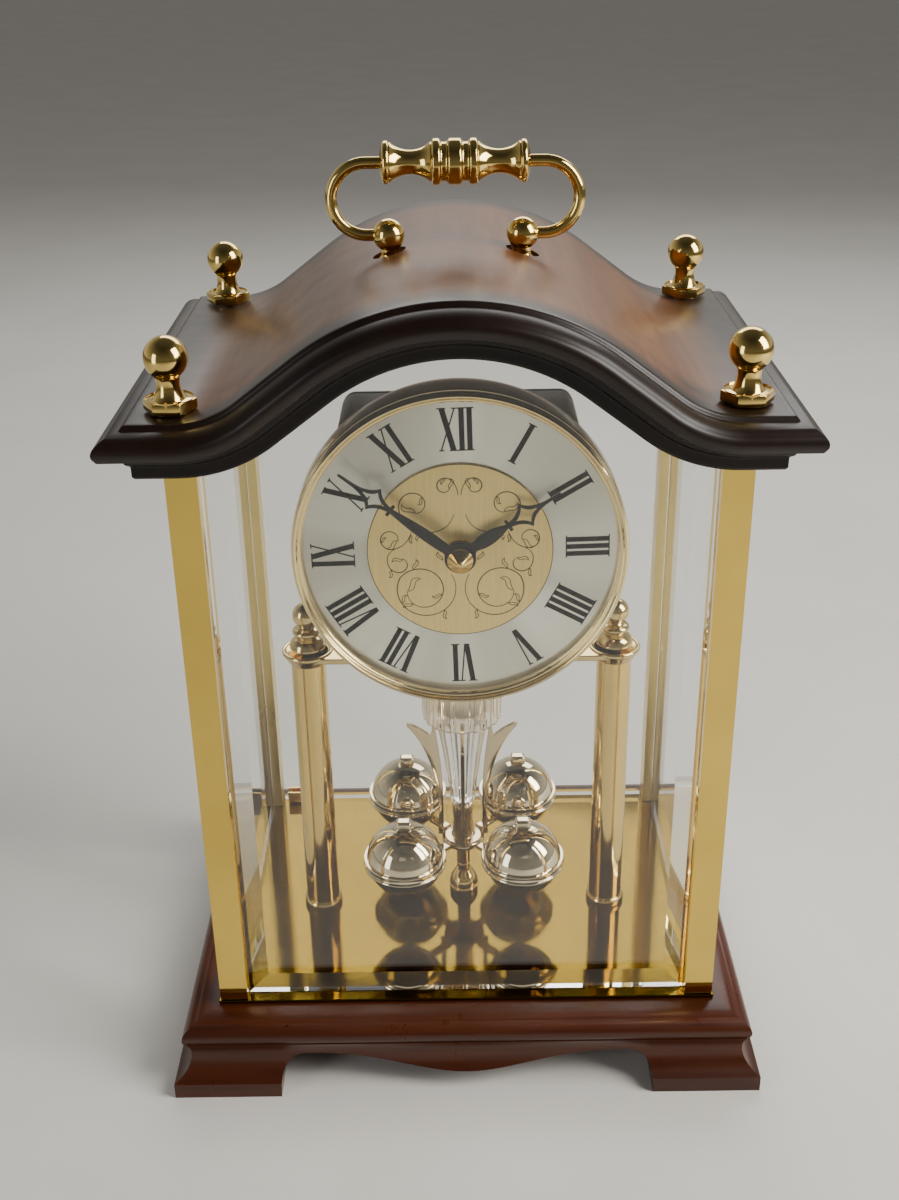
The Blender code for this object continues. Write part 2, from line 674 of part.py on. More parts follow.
def hand_outline(length, leaf_end, blade, wing, hole_scale=0.62):
    """Outer outline, window and half widths of a serpentine hand pointing to +Y."""
    collar = leaf_end + 0.0012
    wing_y = collar + 0.0060 * wing / 0.0036
    neck = collar + 0.0126 * wing / 0.0036
    half = [(0.0022, 0.0042), (blade, 0.0042 + (leaf_end - 0.0042) * 0.40),
            (blade * 0.75, 0.0042 + (leaf_end - 0.0042) * 0.60), (0.0006, leaf_end - GAP),
            (0.0017, leaf_end), (0.0017, collar), (0.0007, collar + GAP)]
    half += [(0.0007 + (wing - 0.0007) * (i / 4) ** 2, collar + (wing_y - collar) * i / 4)
             for i in range(1, 5)]
    half += [(wing * (1 - i / 5) ** 2 + 0.0004, wing_y + (neck - wing_y) * i / 5)
             for i in range(1, 6)]
    half.append((0.0002, length))
    hub = [(x, y) for x, y in arc(0.0, 0.0, 0.0053, -90, 52, 10)]
    outer = mirrored(hub + half)
    middle = (collar + neck) / 2 - 0.0006
    reach = wing * hole_scale
    spread = (neck - collar) * 0.30
    window = [(0.0, middle - spread), (reach * 0.42, middle - spread * 0.42),
              (reach, wing_y), (reach * 0.36, middle + spread * 0.55), (0.0, middle + spread * 1.2)]
    return outer, mirrored(window)


def build_hand(name, length, leaf_end, blade, wing, bore, thickness, height, angle, pivot):
    outer, window = hand_outline(length, leaf_end, blade, wing)
    hole = arc(0.0, 0.0, bore, 0, 330, 11)
    hand = flat_piece(name, [outer, window, hole], thickness, BLACK, pivot.location, FRONT,
                      parent=pivot)
    hand.location = (0.0, height, 0.0)
    hand.rotation_euler = (math.radians(90.0), angle, 0.0)
    return hand


def build_hands(hour_pivot, minute_pivot):
    hour = build_hand("hour_hand", HOUR_LENGTH, 0.0170, 0.0024, 0.0040, 0.0019, 0.0005, HOUR_Y,
                      HOUR_ANGLE, hour_pivot)
    pipe = turned("hour_pipe.add", tube_profile(0.0023, 0.0016, 0.0262, 0.0), None,
                  towards_front(HOUR_Y + 0.0260), FRONT, steps=16, ring=True)
    combine(hour, pipe, "UNION")
    build_hand("minute_hand", MINUTE_LENGTH, 0.0255, 0.0019, 0.0036, ARBOR + GAP, 0.0005, MINUTE_Y,
               MINUTE_ANGLE, minute_pivot)
    bore = ARBOR + GAP
    profile = [(0.0, 0.0052), (0.0012, 0.0048), (0.0034, 0.0030), (0.0043, 0.0024),
               (0.0043, 0.0), (bore, 0.0), (bore, 0.0030), (0.0, 0.0030)]
    turned("hand_nut", profile, BRASS, towards_front(MINUTE_Y - 0.0006), FRONT, steps=24,
           parent=minute_pivot)


# ---------------------------------------------------------------- movement

def movement_outline(inset):
    """Movement housing seen from the front, upper corners rounded; Y is height."""
    radius = CORNER - inset
    half = [(MOVEMENT_X - inset, MOVEMENT_BOTTOM + inset)]
    half += arc(MOVEMENT_X - CORNER, MOVEMENT_TOP - CORNER, radius, 0, 90, 6)
    return mirrored(half)


def wheel_outline(radius, teeth, depth):
    outline = []
    for i in range(teeth):
        for step, reach in ((0.0, radius - depth), (0.25, radius - depth), (0.40, radius),
                            (0.70, radius)):
            angle = 2 * math.pi * (i + step) / teeth
            outline.append((reach * math.cos(angle), reach * math.sin(angle)))
    return outline


def build_movement(minute_pivot, knob_pivot):
    depth = MOVEMENT_BACK - MOVEMENT_FRONT
    case = flat_piece("movement_case", [movement_outline(0.0)], depth, OLIVE,
                      (0.0, (MOVEMENT_BACK + MOVEMENT_FRONT) / 2, 0.0), FRONT)
    room = flat_piece("movement_room.cut", [movement_outline(SHELL)], depth, None,
                      (0.0, (MOVEMENT_BACK + MOVEMENT_FRONT) / 2 + SHELL, 0.0), FRONT)
    combine(case, room)
    combine(case, turned("bush_hole.cut", rod_profile(0.0042, 0.03, 0.0), None,
                         towards_front(-0.010), FRONT, steps=16))
    combine(case, cylinders("hook_hole.cut", [(0.0, PENDULUM_Y, 0.0030, 0.14, 0.152)]))

    cover = flat_piece("movement_cover", [movement_outline(0.0)], SHELL, OLIVE,
                       (0.0, MOVEMENT_BACK + GAP + SHELL / 2, 0.0), FRONT)
    combine(cover, turned("knob_hole.cut", rod_profile(0.0019, 0.03, -0.03), None,
                          (KNOB_X, MOVEMENT_BACK, DIAL_Z), FRONT, steps=16))

    cell = [(0.0, 0.0255), (0.0026, 0.0255), (0.0026, 0.0242), (0.0072, 0.0238),
            (0.0072, -0.0248), (0.0, -0.0248)]
    turned("battery", cell, CELL, (0.0, -0.0060, 0.1640), SIDEWAYS, steps=20)
    block("circuit_board", (0.0300, 0.0012, 0.0200), (-0.0200, -0.0160, 0.2160), CIRCUIT)
    wheel = flat_piece("centre_wheel", [wheel_outline(CENTRE_WHEEL, 24, 0.0012)], 0.0010, BRASS,
                       (0.0, 0.0020, DIAL_Z), FRONT, parent=minute_pivot)
    arbor = turned("minute_arbor.add", rod_profile(ARBOR, 0.0432, -0.0050), None,
                   towards_front(0.0), FRONT, steps=12)
    combine(wheel, arbor, "UNION")

    pinion = KNOB_X - CENTRE_WHEEL - GAP
    profile = [(0.0, 0.0070), (0.0066, 0.0070), (0.0070, 0.0060), (0.0070, 0.0), (0.0016, 0.0),
               (0.0016, -0.0080), (pinion, -0.0080), (pinion, -0.0110), (0.0, -0.0110)]
    turned("set_knob", profile, BLACK, (KNOB_X, MOVEMENT_BACK + SHELL + 2 * GAP, DIAL_Z),
           (math.radians(-90.0), 0.0, 0.0), steps=24, parent=knob_pivot)


# ---------------------------------------------------------------- pendulum

def build_drive_housing():
    top = BRIDGE_Z - GAP
    bottom = 0.1123
    housing = flat_piece("drive_housing", [fluted(0.0153, 16, 0.0007)], top - bottom, CLEAR,
                         (0.0, PENDULUM_Y, (top + bottom) / 2))
    cuts = [(0.0, PENDULUM_Y, 0.0130, 0.1, top - 0.0015)]
    combine(housing, cylinders("housing_room.cut", cuts, steps=32))
    holes = [(0.0, PENDULUM_Y, 0.0030, 0.13, 0.15)]
    combine(housing, cylinders("housing_hole.cut", holes))


def vane_outline():
    """A horn-tipped vane on each side of the pendulum's stem; Y is height."""
    outer = [(0.0104, 0.0575), (0.0100, 0.0660), (0.0098, 0.0740), (0.0102, 0.0810),
             (0.0116, 0.0880), (0.0142, 0.0960), (0.0178, 0.1030), (0.0213, 0.1075)]
    tip = [(0.0206, 0.1083), (0.0170, 0.1066), (0.0138, 0.1043), (0.0120, 0.1034),
           (0.0112, 0.1040)]
    return mirrored(outer + tip)


def build_pendulum(pivot):
    axis = (0.0, PENDULUM_Y, 0.0)
    crown = flat_piece("pendulum_crown", [fluted(0.0110, 16, 0.0007)], 0.0270, CLEAR,
                       (0.0, PENDULUM_Y, 0.1078 + 0.0135), parent=pivot)
    room = [(0.0, PENDULUM_Y, 0.0088, 0.0900, 0.1320), (0.0, PENDULUM_Y, 0.0012, 0.1000, 0.1400)]
    combine(crown, cylinders("crown_room.cut", room[:1], steps=24))
    combine(crown, cylinders("crown_hole.cut", room[1:]))

    hook = [(0.0, 0.1500), (0.0009, 0.1500), (0.0009, 0.1310), (0.0030, 0.1310),
            (0.0030, 0.1290), (0.0, 0.1290)]
    turned("suspension_hook", hook, STEEL, axis, steps=12, parent=pivot)

    vanes = flat_piece("pendulum_vanes", [vane_outline()], 0.0014, PLATED, axis, FRONT,
                       parent=pivot)
    across = flat_piece("vanes_across.add", [vane_outline()], 0.0014, None, axis,
                        (math.radians(90.0), 0.0, math.radians(90.0)))
    combine(vanes, across, "UNION")
    stem = cylinders("vane_stem.add", [(0.0, PENDULUM_Y, 0.0044, 0.0572, 0.1074)], steps=20)
    combine(vanes, stem, "UNION")
    top = [(0.0, PENDULUM_Y, 0.0106, 0.1040, 0.1074)]
    combine(vanes, cylinders("vane_top.add", top, steps=20), "UNION")

    hub_top = 0.0568
    hub = turned("pendulum_hub", [(0.0029, hub_top), (0.0108, hub_top), (0.0112, hub_top - 0.0012),
                                  (0.0108, HUB_Z), (0.0029, HUB_Z)], PLATED, axis, steps=24,
                 ring=True, parent=pivot)
    reach = BALL_OFFSET * math.sqrt(2.0) - BALL + 0.0002
    for index, degrees in enumerate((45.0, 135.0)):
        bm = bmesh.new()
        for side in (-1, 1):
            inner = 0.0090
            centre = Matrix.Translation((side * (inner + reach) / 2, 0.0, hub_top - 0.0014))
            size = Matrix.Diagonal((reach - inner, 0.0040, 0.0016, 1.0))
            bmesh.ops.create_cube(bm, size=1.0, matrix=centre @ size)
        arms = place("hub_arms_%d.add" % index, from_bmesh("hub_arms", bm), None, axis,
                     (0.0, 0.0, math.radians(degrees)))
        combine(hub, arms, "UNION")

    rod = [(0.0, 0.0566), (0.00265, 0.0566), (0.00265, CUP_TOP + 0.0006),
           (0.0009, CUP_TOP + 0.0004), (0.0009, 0.0340), (0.0, 0.0336)]
    turned("pendulum_rod", rod, BRASS, axis, steps=16, parent=pivot)

    half = math.degrees(math.asin(0.0008 / BALL))
    upper = arc(0.0, 0.0, BALL, 90, half, 6)
    profile = upper + [(BALL_RING, 0.0006), (BALL_RING, -0.0006)]
    profile += [(r, -z) for r, z in reversed(upper)]
    for index, (sx, sy) in enumerate(CORNERS):
        centre = (sx * BALL_OFFSET, PENDULUM_Y + sy * BALL_OFFSET, BALL_Z)
        ball = turned("pendulum_ball_%d" % (index + 1), profile, PLATED, centre, steps=20,
                      parent=pivot)
        peg = block("ball_peg_%d.add" % (index + 1), (0.0040, 0.0040, 0.0040),
                    (centre[0], centre[1], BALL_Z + BALL + 0.0008), None)
        combine(ball, peg, "UNION")

    cup = [(0.0016, CUP_TOP), (0.0026, CUP_TOP), (0.0034, 0.0385), (0.0046, 0.0355),
           (0.0052, 0.0335), (0.0046, 0.0329), (0.0052, 0.0323), (0.0052, FLOOR_TOP + GAP),
           (0.0016, FLOOR_TOP + GAP)]
    turned("guide_cup", cup, BRASS, axis, steps=20, ring=True)


def joint_empty(name, location):
    empty = bpy.data.objects.new(name, None)
    empty.location = location
    parts.objects.link(empty)
    return empty


for old in list(bpy.data.objects):
    bpy.data.objects.remove(old)
parts = new_collection("anniversary_clock")
cutters = new_collection("cutters")

build_base()
build_floor()
build_posts()
build_bolts()
build_roof()
build_finials()
build_handle(joint_empty("handle_axis", (0.0, 0.0, HANDLE_Z)))
build_glass()
build_door(joint_empty("door_axis", (-DOOR_PIN_X, GLASS_Y, 0.0)))
build_bridge()
build_dial()
minute_axis = joint_empty("minute_axis", (0.0, 0.0, DIAL_Z))
build_hands(joint_empty("hour_axis", (0.0, 0.0, DIAL_Z)), minute_axis)
build_movement(minute_axis, joint_empty("set_knob_axis", (KNOB_X, 0.0, DIAL_Z)))
build_drive_housing()
build_pendulum(joint_empty("pendulum_axis", (0.0, PENDULUM_Y, 0.0)))
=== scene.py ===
"""Looks of the glazed anniversary clock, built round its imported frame.

Metres, +Z up, the dial faces -Y. Every place comes from the frame's own boxes.
"""

import math

import bmesh
import bpy
from mathutils import Matrix, Vector


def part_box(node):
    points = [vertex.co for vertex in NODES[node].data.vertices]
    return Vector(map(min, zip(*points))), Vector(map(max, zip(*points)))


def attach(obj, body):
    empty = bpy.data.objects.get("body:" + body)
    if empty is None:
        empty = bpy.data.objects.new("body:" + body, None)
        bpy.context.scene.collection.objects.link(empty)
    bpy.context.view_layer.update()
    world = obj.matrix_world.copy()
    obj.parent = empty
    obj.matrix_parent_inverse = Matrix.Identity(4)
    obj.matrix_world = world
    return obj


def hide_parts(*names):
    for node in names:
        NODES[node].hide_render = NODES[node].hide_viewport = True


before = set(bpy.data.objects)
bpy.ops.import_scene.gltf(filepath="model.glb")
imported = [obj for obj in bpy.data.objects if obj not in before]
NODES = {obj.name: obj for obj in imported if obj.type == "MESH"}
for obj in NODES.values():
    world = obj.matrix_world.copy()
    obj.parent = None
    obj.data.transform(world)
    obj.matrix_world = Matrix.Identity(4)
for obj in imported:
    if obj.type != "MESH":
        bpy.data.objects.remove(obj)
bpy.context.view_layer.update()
MM = 0.001
TINY = 1e-6
CORNERS = ("front_left", "front_right", "rear_right", "rear_left")
SIDES = ("left", "right")

# Turns that lay a piece's own Z towards the front, to the right and towards the back
FRONT = (math.radians(90.0), 0.0, 0.0)
SIDEWAYS = (0.0, math.radians(90.0), 0.0)
BACK = (math.radians(-90.0), 0.0, 0.0)


# ---------------------------------------------------------------- places taken from the frame

def centre_of(node):
    low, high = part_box(node)
    return (low + high) / 2


def half_size(node):
    low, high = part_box(node)
    return (high - low) / 2


def front_of(node):
    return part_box(node)[0].y


def back_of(node):
    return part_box(node)[1].y


def top_of(node):
    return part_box(node)[1].z


def bottom_of(node):
    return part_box(node)[0].z


def upright(node, z=0.0):
    """The point of a node's upright middle line at a height."""
    middle = centre_of(node)
    return (middle.x, middle.y, z)


ROOF_GAP = 0.3 * MM
ROOF_Z = top_of("post_front_left") + ROOF_GAP
DIAL = centre_of("dial_plate")
DIAL_RADIUS = half_size("dial_plate").x
DISC_RADIUS = half_size("dial_centre_disc").x
BEZEL_RADIUS = half_size("dial_bezel").x
DRUM_RADIUS = half_size("dial_drum").x
AXIS = Vector((0.0, centre_of("guide_cup").y, 0.0))

# The roof's arch: a crown arc, a straight flank and a reverse arc, then a flat shoulder
ARCH_ANGLE = math.radians(37.0)
CROWN_RADIUS = 63.0 * MM
FLANK = 21.3 * MM
FOOT_RADIUS = 49.0 * MM
REVERSE_START = CROWN_RADIUS * ARCH_ANGLE + FLANK
SHOULDER_START = REVERSE_START + FOOT_RADIUS * ARCH_ANGLE
SIN = math.sin(ARCH_ANGLE)
COS = math.cos(ARCH_ANGLE)
SHOULDER_X = (CROWN_RADIUS + FOOT_RADIUS) * SIN + FLANK * COS
CROWN_Z = ROOF_Z + (CROWN_RADIUS + FOOT_RADIUS) * (1 - COS) + FLANK * SIN
STRETCH = SHOULDER_START - SHOULDER_X


# ---------------------------------------------------------------- material helpers

class Paint:
    """A Principled material, and short ways to add procedural detail to it."""

    def __init__(self, name, colour, roughness, metallic=0.0, **sockets):
        self.material = bpy.data.materials.new(name)
        self.material.use_nodes = True
        self.nodes = self.material.node_tree.nodes
        self.links = self.material.node_tree.links
        self.shader = self.nodes["Principled BSDF"]
        self.shader.inputs["Base Color"].default_value = (*colour, 1.0)
        self.shader.inputs["Roughness"].default_value = roughness
        self.shader.inputs["Metallic"].default_value = metallic
        for socket, value in sockets.items():
            self.shader.inputs[socket.replace("_", " ")].default_value = value
        self.material.diffuse_color = (*colour, 1.0)
        self.height = None

    def node(self, kind, **values):
        made = self.nodes.new(kind)
        for name, value in values.items():
            if hasattr(made, name):
                setattr(made, name, value)
            else:
                made.inputs[name].default_value = value
        return made

    def coordinates(self, stretch=(1.0, 1.0, 1.0)):
        source = self.node("ShaderNodeTexCoord")
        mapping = self.node("ShaderNodeMapping")
        mapping.inputs["Scale"].default_value = stretch
        self.links.new(source.outputs["Object"], mapping.inputs["Vector"])
        return mapping.outputs["Vector"]

    def axes(self):
        parts = self.node("ShaderNodeSeparateXYZ")
        self.links.new(self.coordinates(), parts.inputs[0])
        return parts.outputs

    def noise(self, scale, detail=4.0, stretch=(1.0, 1.0, 1.0)):
        made = self.node("ShaderNodeTexNoise", Scale=scale, Detail=detail)
        self.links.new(self.coordinates(stretch), made.inputs["Vector"])
        return made.outputs["Fac"]

    def ramp(self, source, stops):
        made = self.node("ShaderNodeValToRGB")
        ramp = made.color_ramp
        while len(ramp.elements) < len(stops):
            ramp.elements.new(0.5)
        for element, (place, colour) in zip(ramp.elements, stops):
            element.position = place
            element.color = (*colour, 1.0)
        self.links.new(source, made.inputs["Fac"])
        return made.outputs["Color"]

    def spread(self, source, low, high, start=0.3, end=0.7):
        made = self.node("ShaderNodeMapRange")
        for name, value in (("From Min", start), ("From Max", end), ("To Min", low), ("To Max", high)):
            made.inputs[name].default_value = value
        self.links.new(source, made.inputs["Value"])
        return made.outputs["Result"]

    def mix(self, first, second, share, blend="MIX"):
        made = self.node("ShaderNodeMix", data_type="RGBA", blend_type=blend)
        for socket, value in ((made.inputs[6], first), (made.inputs[7], second), (made.inputs[0], share)):
            if isinstance(value, bpy.types.NodeSocket):
                self.links.new(value, socket)
            else:
                socket.default_value = value if isinstance(value, float) else (*value, 1.0)
        return made.outputs[2]

    def maths(self, operation, first, second=0.0):
        made = self.node("ShaderNodeMath", operation=operation)
        for socket, value in zip(made.inputs, (first, second)):
            if isinstance(value, bpy.types.NodeSocket):
                self.links.new(value, socket)
            else:
                socket.default_value = value
        return made.outputs[0]

    def colour(self, source):
        self.links.new(source, self.shader.inputs["Base Color"])

    def roughness(self, source):
        self.links.new(source, self.shader.inputs["Roughness"])

    def bump(self, source, distance, strength=1.0):
        made = self.node("ShaderNodeBump", Strength=strength, Distance=distance)
        self.links.new(source, made.inputs["Height"])
        if self.height is not None:
            self.links.new(self.height, made.inputs["Normal"])
        self.height = made.outputs["Normal"]
        self.links.new(self.height, self.shader.inputs["Normal"])


def metal(name, colour, roughness, wear=0.05, fine=900.0, dent=0.004):
    """Polished metal with faint smears in its gloss and a hint of unevenness."""
    paint = Paint(name, colour, roughness, 1.0)
    smear = paint.noise(60.0, 5.0)
    paint.roughness(paint.spread(smear, max(roughness - wear / 2, 0.02), roughness + wear))
    tarnish = paint.noise(25.0, 3.0)
    deep = tuple(c * 0.88 for c in colour)
    paint.colour(paint.ramp(tarnish, ((0.25, deep), (0.6, colour))))
    paint.bump(paint.noise(fine, 2.0), dent * MM, 0.5)
    paint.bump(paint.noise(45.0, 2.0), 0.02 * MM, 0.6)
    return paint


def wood(name, grain, painted_edge_shade=None, light=(0.056, 0.0125, 0.0032), dark=(0.029, 0.0062, 0.0018),
         gloss=0.30, shine=0.4):
    """Lacquered mahogany. grain is the axis the fibres run along; the edge-shade argument, when given, adds
    painted shade that darkens the wood towards the rim.
    """
    paint = Paint(name, light, gloss, Specular_IOR_Level=shine, Coat_Weight=0.2 * shine, Coat_Roughness=0.2)
    stretch = tuple(0.05 if axis == grain else 1.0 for axis in "XYZ")
    fibre = paint.noise(420.0, 5.0, stretch)
    figure = paint.noise(60.0, 3.0, stretch)
    base = paint.ramp(figure, ((0.30, dark), (0.52, light), (0.74, tuple(c * 1.2 for c in light))))
    streaks = paint.ramp(fibre, ((0.35, (0.72, 0.66, 0.62)), (0.62, (1.06, 1.04, 1.02))))
    made = paint.mix(base, streaks, 0.75, "MULTIPLY")
    if painted_edge_shade is not None:
        # Painted shade: near-black mixed into the wood towards the rim.
        made = paint.mix(made, (0.0022, 0.0011, 0.0009), painted_edge_shade(paint))
    paint.colour(made)
    paint.roughness(paint.spread(paint.noise(70.0, 3.0), gloss - 0.03, gloss + 0.05))
    paint.bump(fibre, 0.02 * MM, 0.3)
    paint.bump(paint.noise(22.0, 1.0), 0.06 * MM, 0.2)
    return paint


def painted_rim_shade(half_x, half_y, start):
    """Returns a painted shade, a darkening of the wood that stands in for shade, growing from start, a share of
    the half sizes, to the rim.
    """
    def shade(paint):
        axes = paint.axes()
        across = paint.maths("DIVIDE", paint.maths("ABSOLUTE", axes[0]), half_x)
        along = paint.maths("DIVIDE", paint.maths("ABSOLUTE", axes[1]), half_y)
        reach = paint.maths("MAXIMUM", across, along)
        wobble = paint.maths("MULTIPLY", paint.noise(30.0, 3.0), 0.04)
        return paint.spread(paint.maths("ADD", reach, wobble), 0.0, 0.94, start, start + 0.13)
    return shade


DEEPEST_BOUNCE = 6.5


def clear(name, tint, ior, roughness=0.0):
    """Clear glass or acrylic. Lamp light goes straight through, and so do rays that bounced too often."""
    paint = Paint(name, tint, roughness, 0.0, IOR=ior, Transmission_Weight=1.0)
    see = paint.node("ShaderNodeBsdfTransparent")
    see.inputs["Color"].default_value = (*tint, 1.0)
    path = paint.node("ShaderNodeLightPath")
    join = paint.node("ShaderNodeMixShader")
    output = paint.nodes["Material Output"]
    deep = paint.maths("GREATER_THAN", path.outputs["Ray Depth"], DEEPEST_BOUNCE)
    paint.links.new(paint.maths("MAXIMUM", path.outputs["Is Shadow Ray"], deep), join.inputs[0])
    paint.links.new(paint.shader.outputs[0], join.inputs[1])
    paint.links.new(see.outputs[0], join.inputs[2])
    paint.links.new(join.outputs[0], output.inputs["Surface"])
    return paint


def plastic(name, colour, roughness, grain=0.02, shine=0.5):
    """Moulded plastic, or paint, with a fine grain of a depth in millimetres."""
    paint = Paint(name, colour, roughness, 0.0, Specular_IOR_Level=shine)
    paint.colour(paint.ramp(paint.noise(120.0, 3.0), ((0.3, tuple(c * 0.85 for c in colour)), (0.7, colour))))
    paint.roughness(paint.spread(paint.noise(300.0, 2.0), roughness - 0.05, roughness + 0.08))
    paint.bump(paint.noise(1800.0, 2.0), grain * MM, 0.6)
    return paint


def silvered():
    """Satin silver with a sunburst brushed out from the middle of the dial, and broad fans of painted sheen,
    lighter and darker sectors, over it.
    """
    paint = Paint("silvered_dial", (0.86, 0.85, 0.73), 0.30, 0.84, Anisotropic=0.88)
    around = paint.node("ShaderNodeTangent", direction_type="RADIAL", axis="Z")
    paint.links.new(around.outputs[0], paint.shader.inputs["Tangent"])
    axes = paint.axes()
    angle = paint.maths("ARCTAN2", axes[1], axes[0])
    fan = paint.node("ShaderNodeCombineXYZ")
    paint.links.new(paint.maths("MULTIPLY", angle, 90.0), fan.inputs[0])
    lines = paint.node("ShaderNodeTexNoise", Scale=3.0, Detail=3.0)
    paint.links.new(fan.outputs[0], lines.inputs["Vector"])
    brushed = lines.outputs["Fac"]
    # Painted sheen: broad lighter and darker sectors round the dial stand in for the sunburst's highlights.
    sector = paint.node("ShaderNodeCombineXYZ")
    paint.links.new(paint.maths("COSINE", angle), sector.inputs[0])
    paint.links.new(paint.maths("SINE", angle), sector.inputs[1])
    painted_sheen = paint.node("ShaderNodeTexNoise", Scale=1.7, Detail=2.0)
    paint.links.new(sector.outputs[0], painted_sheen.inputs["Vector"])
    painted_sheen_fans = paint.ramp(painted_sheen.outputs["Fac"], ((0.40, (0.78, 0.78, 0.75)), (0.60, (1.0, 1.0, 1.0))))
    streaks = paint.ramp(brushed, ((0.35, (0.80, 0.79, 0.68)), (0.65, (0.95, 0.94, 0.83))))
    paint.colour(paint.mix(streaks, painted_sheen_fans, 1.0, "MULTIPLY"))
    paint.roughness(paint.spread(brushed, 0.26, 0.36))
    paint.bump(brushed, 0.004 * MM, 0.5)
    return paint


def gilt():
    """Straight-brushed pale gold."""
    paint = Paint("gilt_disc", (0.88, 0.66, 0.27), 0.36, 0.75, Anisotropic=0.4)
    lines = paint.noise(2600.0, 3.0, (1.0, 0.02, 1.0))
    paint.colour(paint.ramp(lines, ((0.30, (0.80, 0.60, 0.20)), (0.70, (0.91, 0.70, 0.26)))))
    paint.roughness(paint.spread(lines, 0.31, 0.42))
    paint.bump(lines, 0.004 * MM, 0.6)
    return paint


def make_paints():
    cap = half_size("roof_cap")
    base = half_size("base_frame")
    return {
        "mahogany": wood("mahogany_across", "X", painted_rim_shade(base.x, base.y, 1.5)),
        "mahogany_side": wood("mahogany_along", "Y", painted_rim_shade(base.x, base.y, 1.5)),
        # The roof's lighter browns are partly the wood's own tone and partly a painted highlight on its lit top;
        # it also gets painted shade towards the rim.
        "roof": wood("mahogany_roof_painted_light_and_shade", "Y", painted_rim_shade(cap.x, cap.y, 0.74), (0.150, 0.057, 0.0165),
                     (0.104, 0.038, 0.0115), 0.36, 0.38),
        "frieze": wood("mahogany_frieze", "X", None, (0.0045, 0.0016, 0.0010), (0.002, 0.0009, 0.0006),
                       0.30, 0.25),
        "board": wood("backing_board", "X", None, (0.30, 0.18, 0.09), (0.22, 0.12, 0.06), 0.6, 0.3),
        "brass": metal("polished_brass", (0.77, 0.56, 0.18), 0.09),
        # A darkened copy of brass: its colour is a painted reflection of the dark roof on the dial drum's side.
        "drum_brass_painted_reflection": metal("drum_brass_painted_reflection", (0.22, 0.125, 0.038), 0.12),
        "bezel_brass": metal("bezel_brass", (0.93, 0.74, 0.36), 0.12),
        # A darkened copy of brass: painted shade standing in for the dim surroundings that the floor plate
        # reflects.
        "floor_brass_painted_dim_reflection": metal("floor_brass_painted_dim_reflection", (0.165, 0.105, 0.010), 0.07, 0.03),
        "sheet_brass": metal("sheet_brass", (0.78, 0.55, 0.12), 0.05, 0.03),
        "satin_brass": metal("satin_brass", (0.74, 0.57, 0.19), 0.30, 0.08),
        "rose_brass": metal("rose_brass", (0.70, 0.54, 0.23), 0.10),
        "steel": metal("plain_steel", (0.56, 0.55, 0.53), 0.28, 0.10),
        "plated": metal("champagne_plate", (0.75, 0.65, 0.45), 0.05, 0.03),
        "vane": metal("champagne_vane", (0.68, 0.55, 0.34), 0.08, 0.04),
        "silver": silvered(),
        "gilt": gilt(),
        "ink": plastic("dial_ink", (0.003, 0.003, 0.003), 0.7, 0.002, 0.03),
        "line": plastic("engraved_line", (0.028, 0.017, 0.005), 0.6, 0.002, 0.1),
        "hands": plastic("black_hands", (0.004, 0.004, 0.0045), 0.45, 0.004, 0.2),
        "glass": clear("clear_glass", (0.985, 0.99, 0.98), 1.50),
        "pane": clear("door_pane", (0.985, 0.99, 0.98), 1.12),
        "acrylic": clear("clear_acrylic", (0.98, 0.97, 0.94), 1.49, 0.02),
        "tinted": clear("champagne_acrylic", (0.97, 0.90, 0.76), 1.49, 0.03),
        "movement": plastic("movement_plastic", (0.27, 0.225, 0.15), 0.42),
        "knob": plastic("knob_plastic", (0.020, 0.020, 0.020), 0.40),
        "cell": plastic("cell_jacket", (0.03, 0.03, 0.035), 0.25, 0.005),
        "circuit": plastic("circuit_laminate", (0.02, 0.13, 0.05), 0.40),
    }


PAINTS = make_paints()


# ---------------------------------------------------------------- shape helpers

def in_mm(points, base=0.0):
    """Points given in millimetres as metres, with their heights counted from base."""
    return [(x * MM, base + y * MM) for x, y in points]


def arc(cx, cy, radius, start, end, steps):
    """Points on an arc, angles in degrees, both ends included."""
    angles = [math.radians(start + (end - start) * i / steps) for i in range(steps + 1)]
    return [(cx + radius * math.cos(a), cy + radius * math.sin(a)) for a in angles]


def spiral(cx, cy, first, last, start, end, steps=40):
    """Points on an arc whose radius changes evenly from first to last."""
    made = []
    for i in range(steps + 1):
        share = i / steps
        angle = math.radians(start + (end - start) * share)
        radius = first + (last - first) * share
        made.append((cx + radius * math.cos(angle), cy + radius * math.sin(angle)))
    return made


def bow(start, bend, end, steps=10):
    """Points on a quadratic curve from start to end, both included."""
    a, b, c = Vector(start), Vector(bend), Vector(end)
    shares = [i / steps for i in range(steps + 1)]
    return [tuple(a * (1 - t) ** 2 + b * 2 * t * (1 - t) + c * t * t) for t in shares]


def bows(start, *legs):
    """A chain of quadratic curves from start, each leg given as its bend, its end and its steps."""
    made = []
    for bend, end, steps in legs:
        made += bow(start, bend, end, steps)[1 if made else 0:]
        start = end
    return made


def soften(points, radius, steps=3, closed=False):
    """Round the corners of a line of points."""
    made = []
    count = len(points)
    for i, point in enumerate(points):
        here = Vector(point)
        if not closed and i in (0, count - 1):
            made.append(tuple(here))
            continue
        before = Vector(points[i - 1]) - here
        after = Vector(points[(i + 1) % count]) - here
        cut = min(radius, before.length * 0.45, after.length * 0.45)
        start = here + before.normalized() * cut
        end = here + after.normalized() * cut
        made += bow(start, here, end, steps)
    return made


def mirrored(half):
    """Close an outline given for x >= 0 with its mirror image."""
    return half + [(-x, y) for x, y in reversed(half) if abs(x) > TINY]


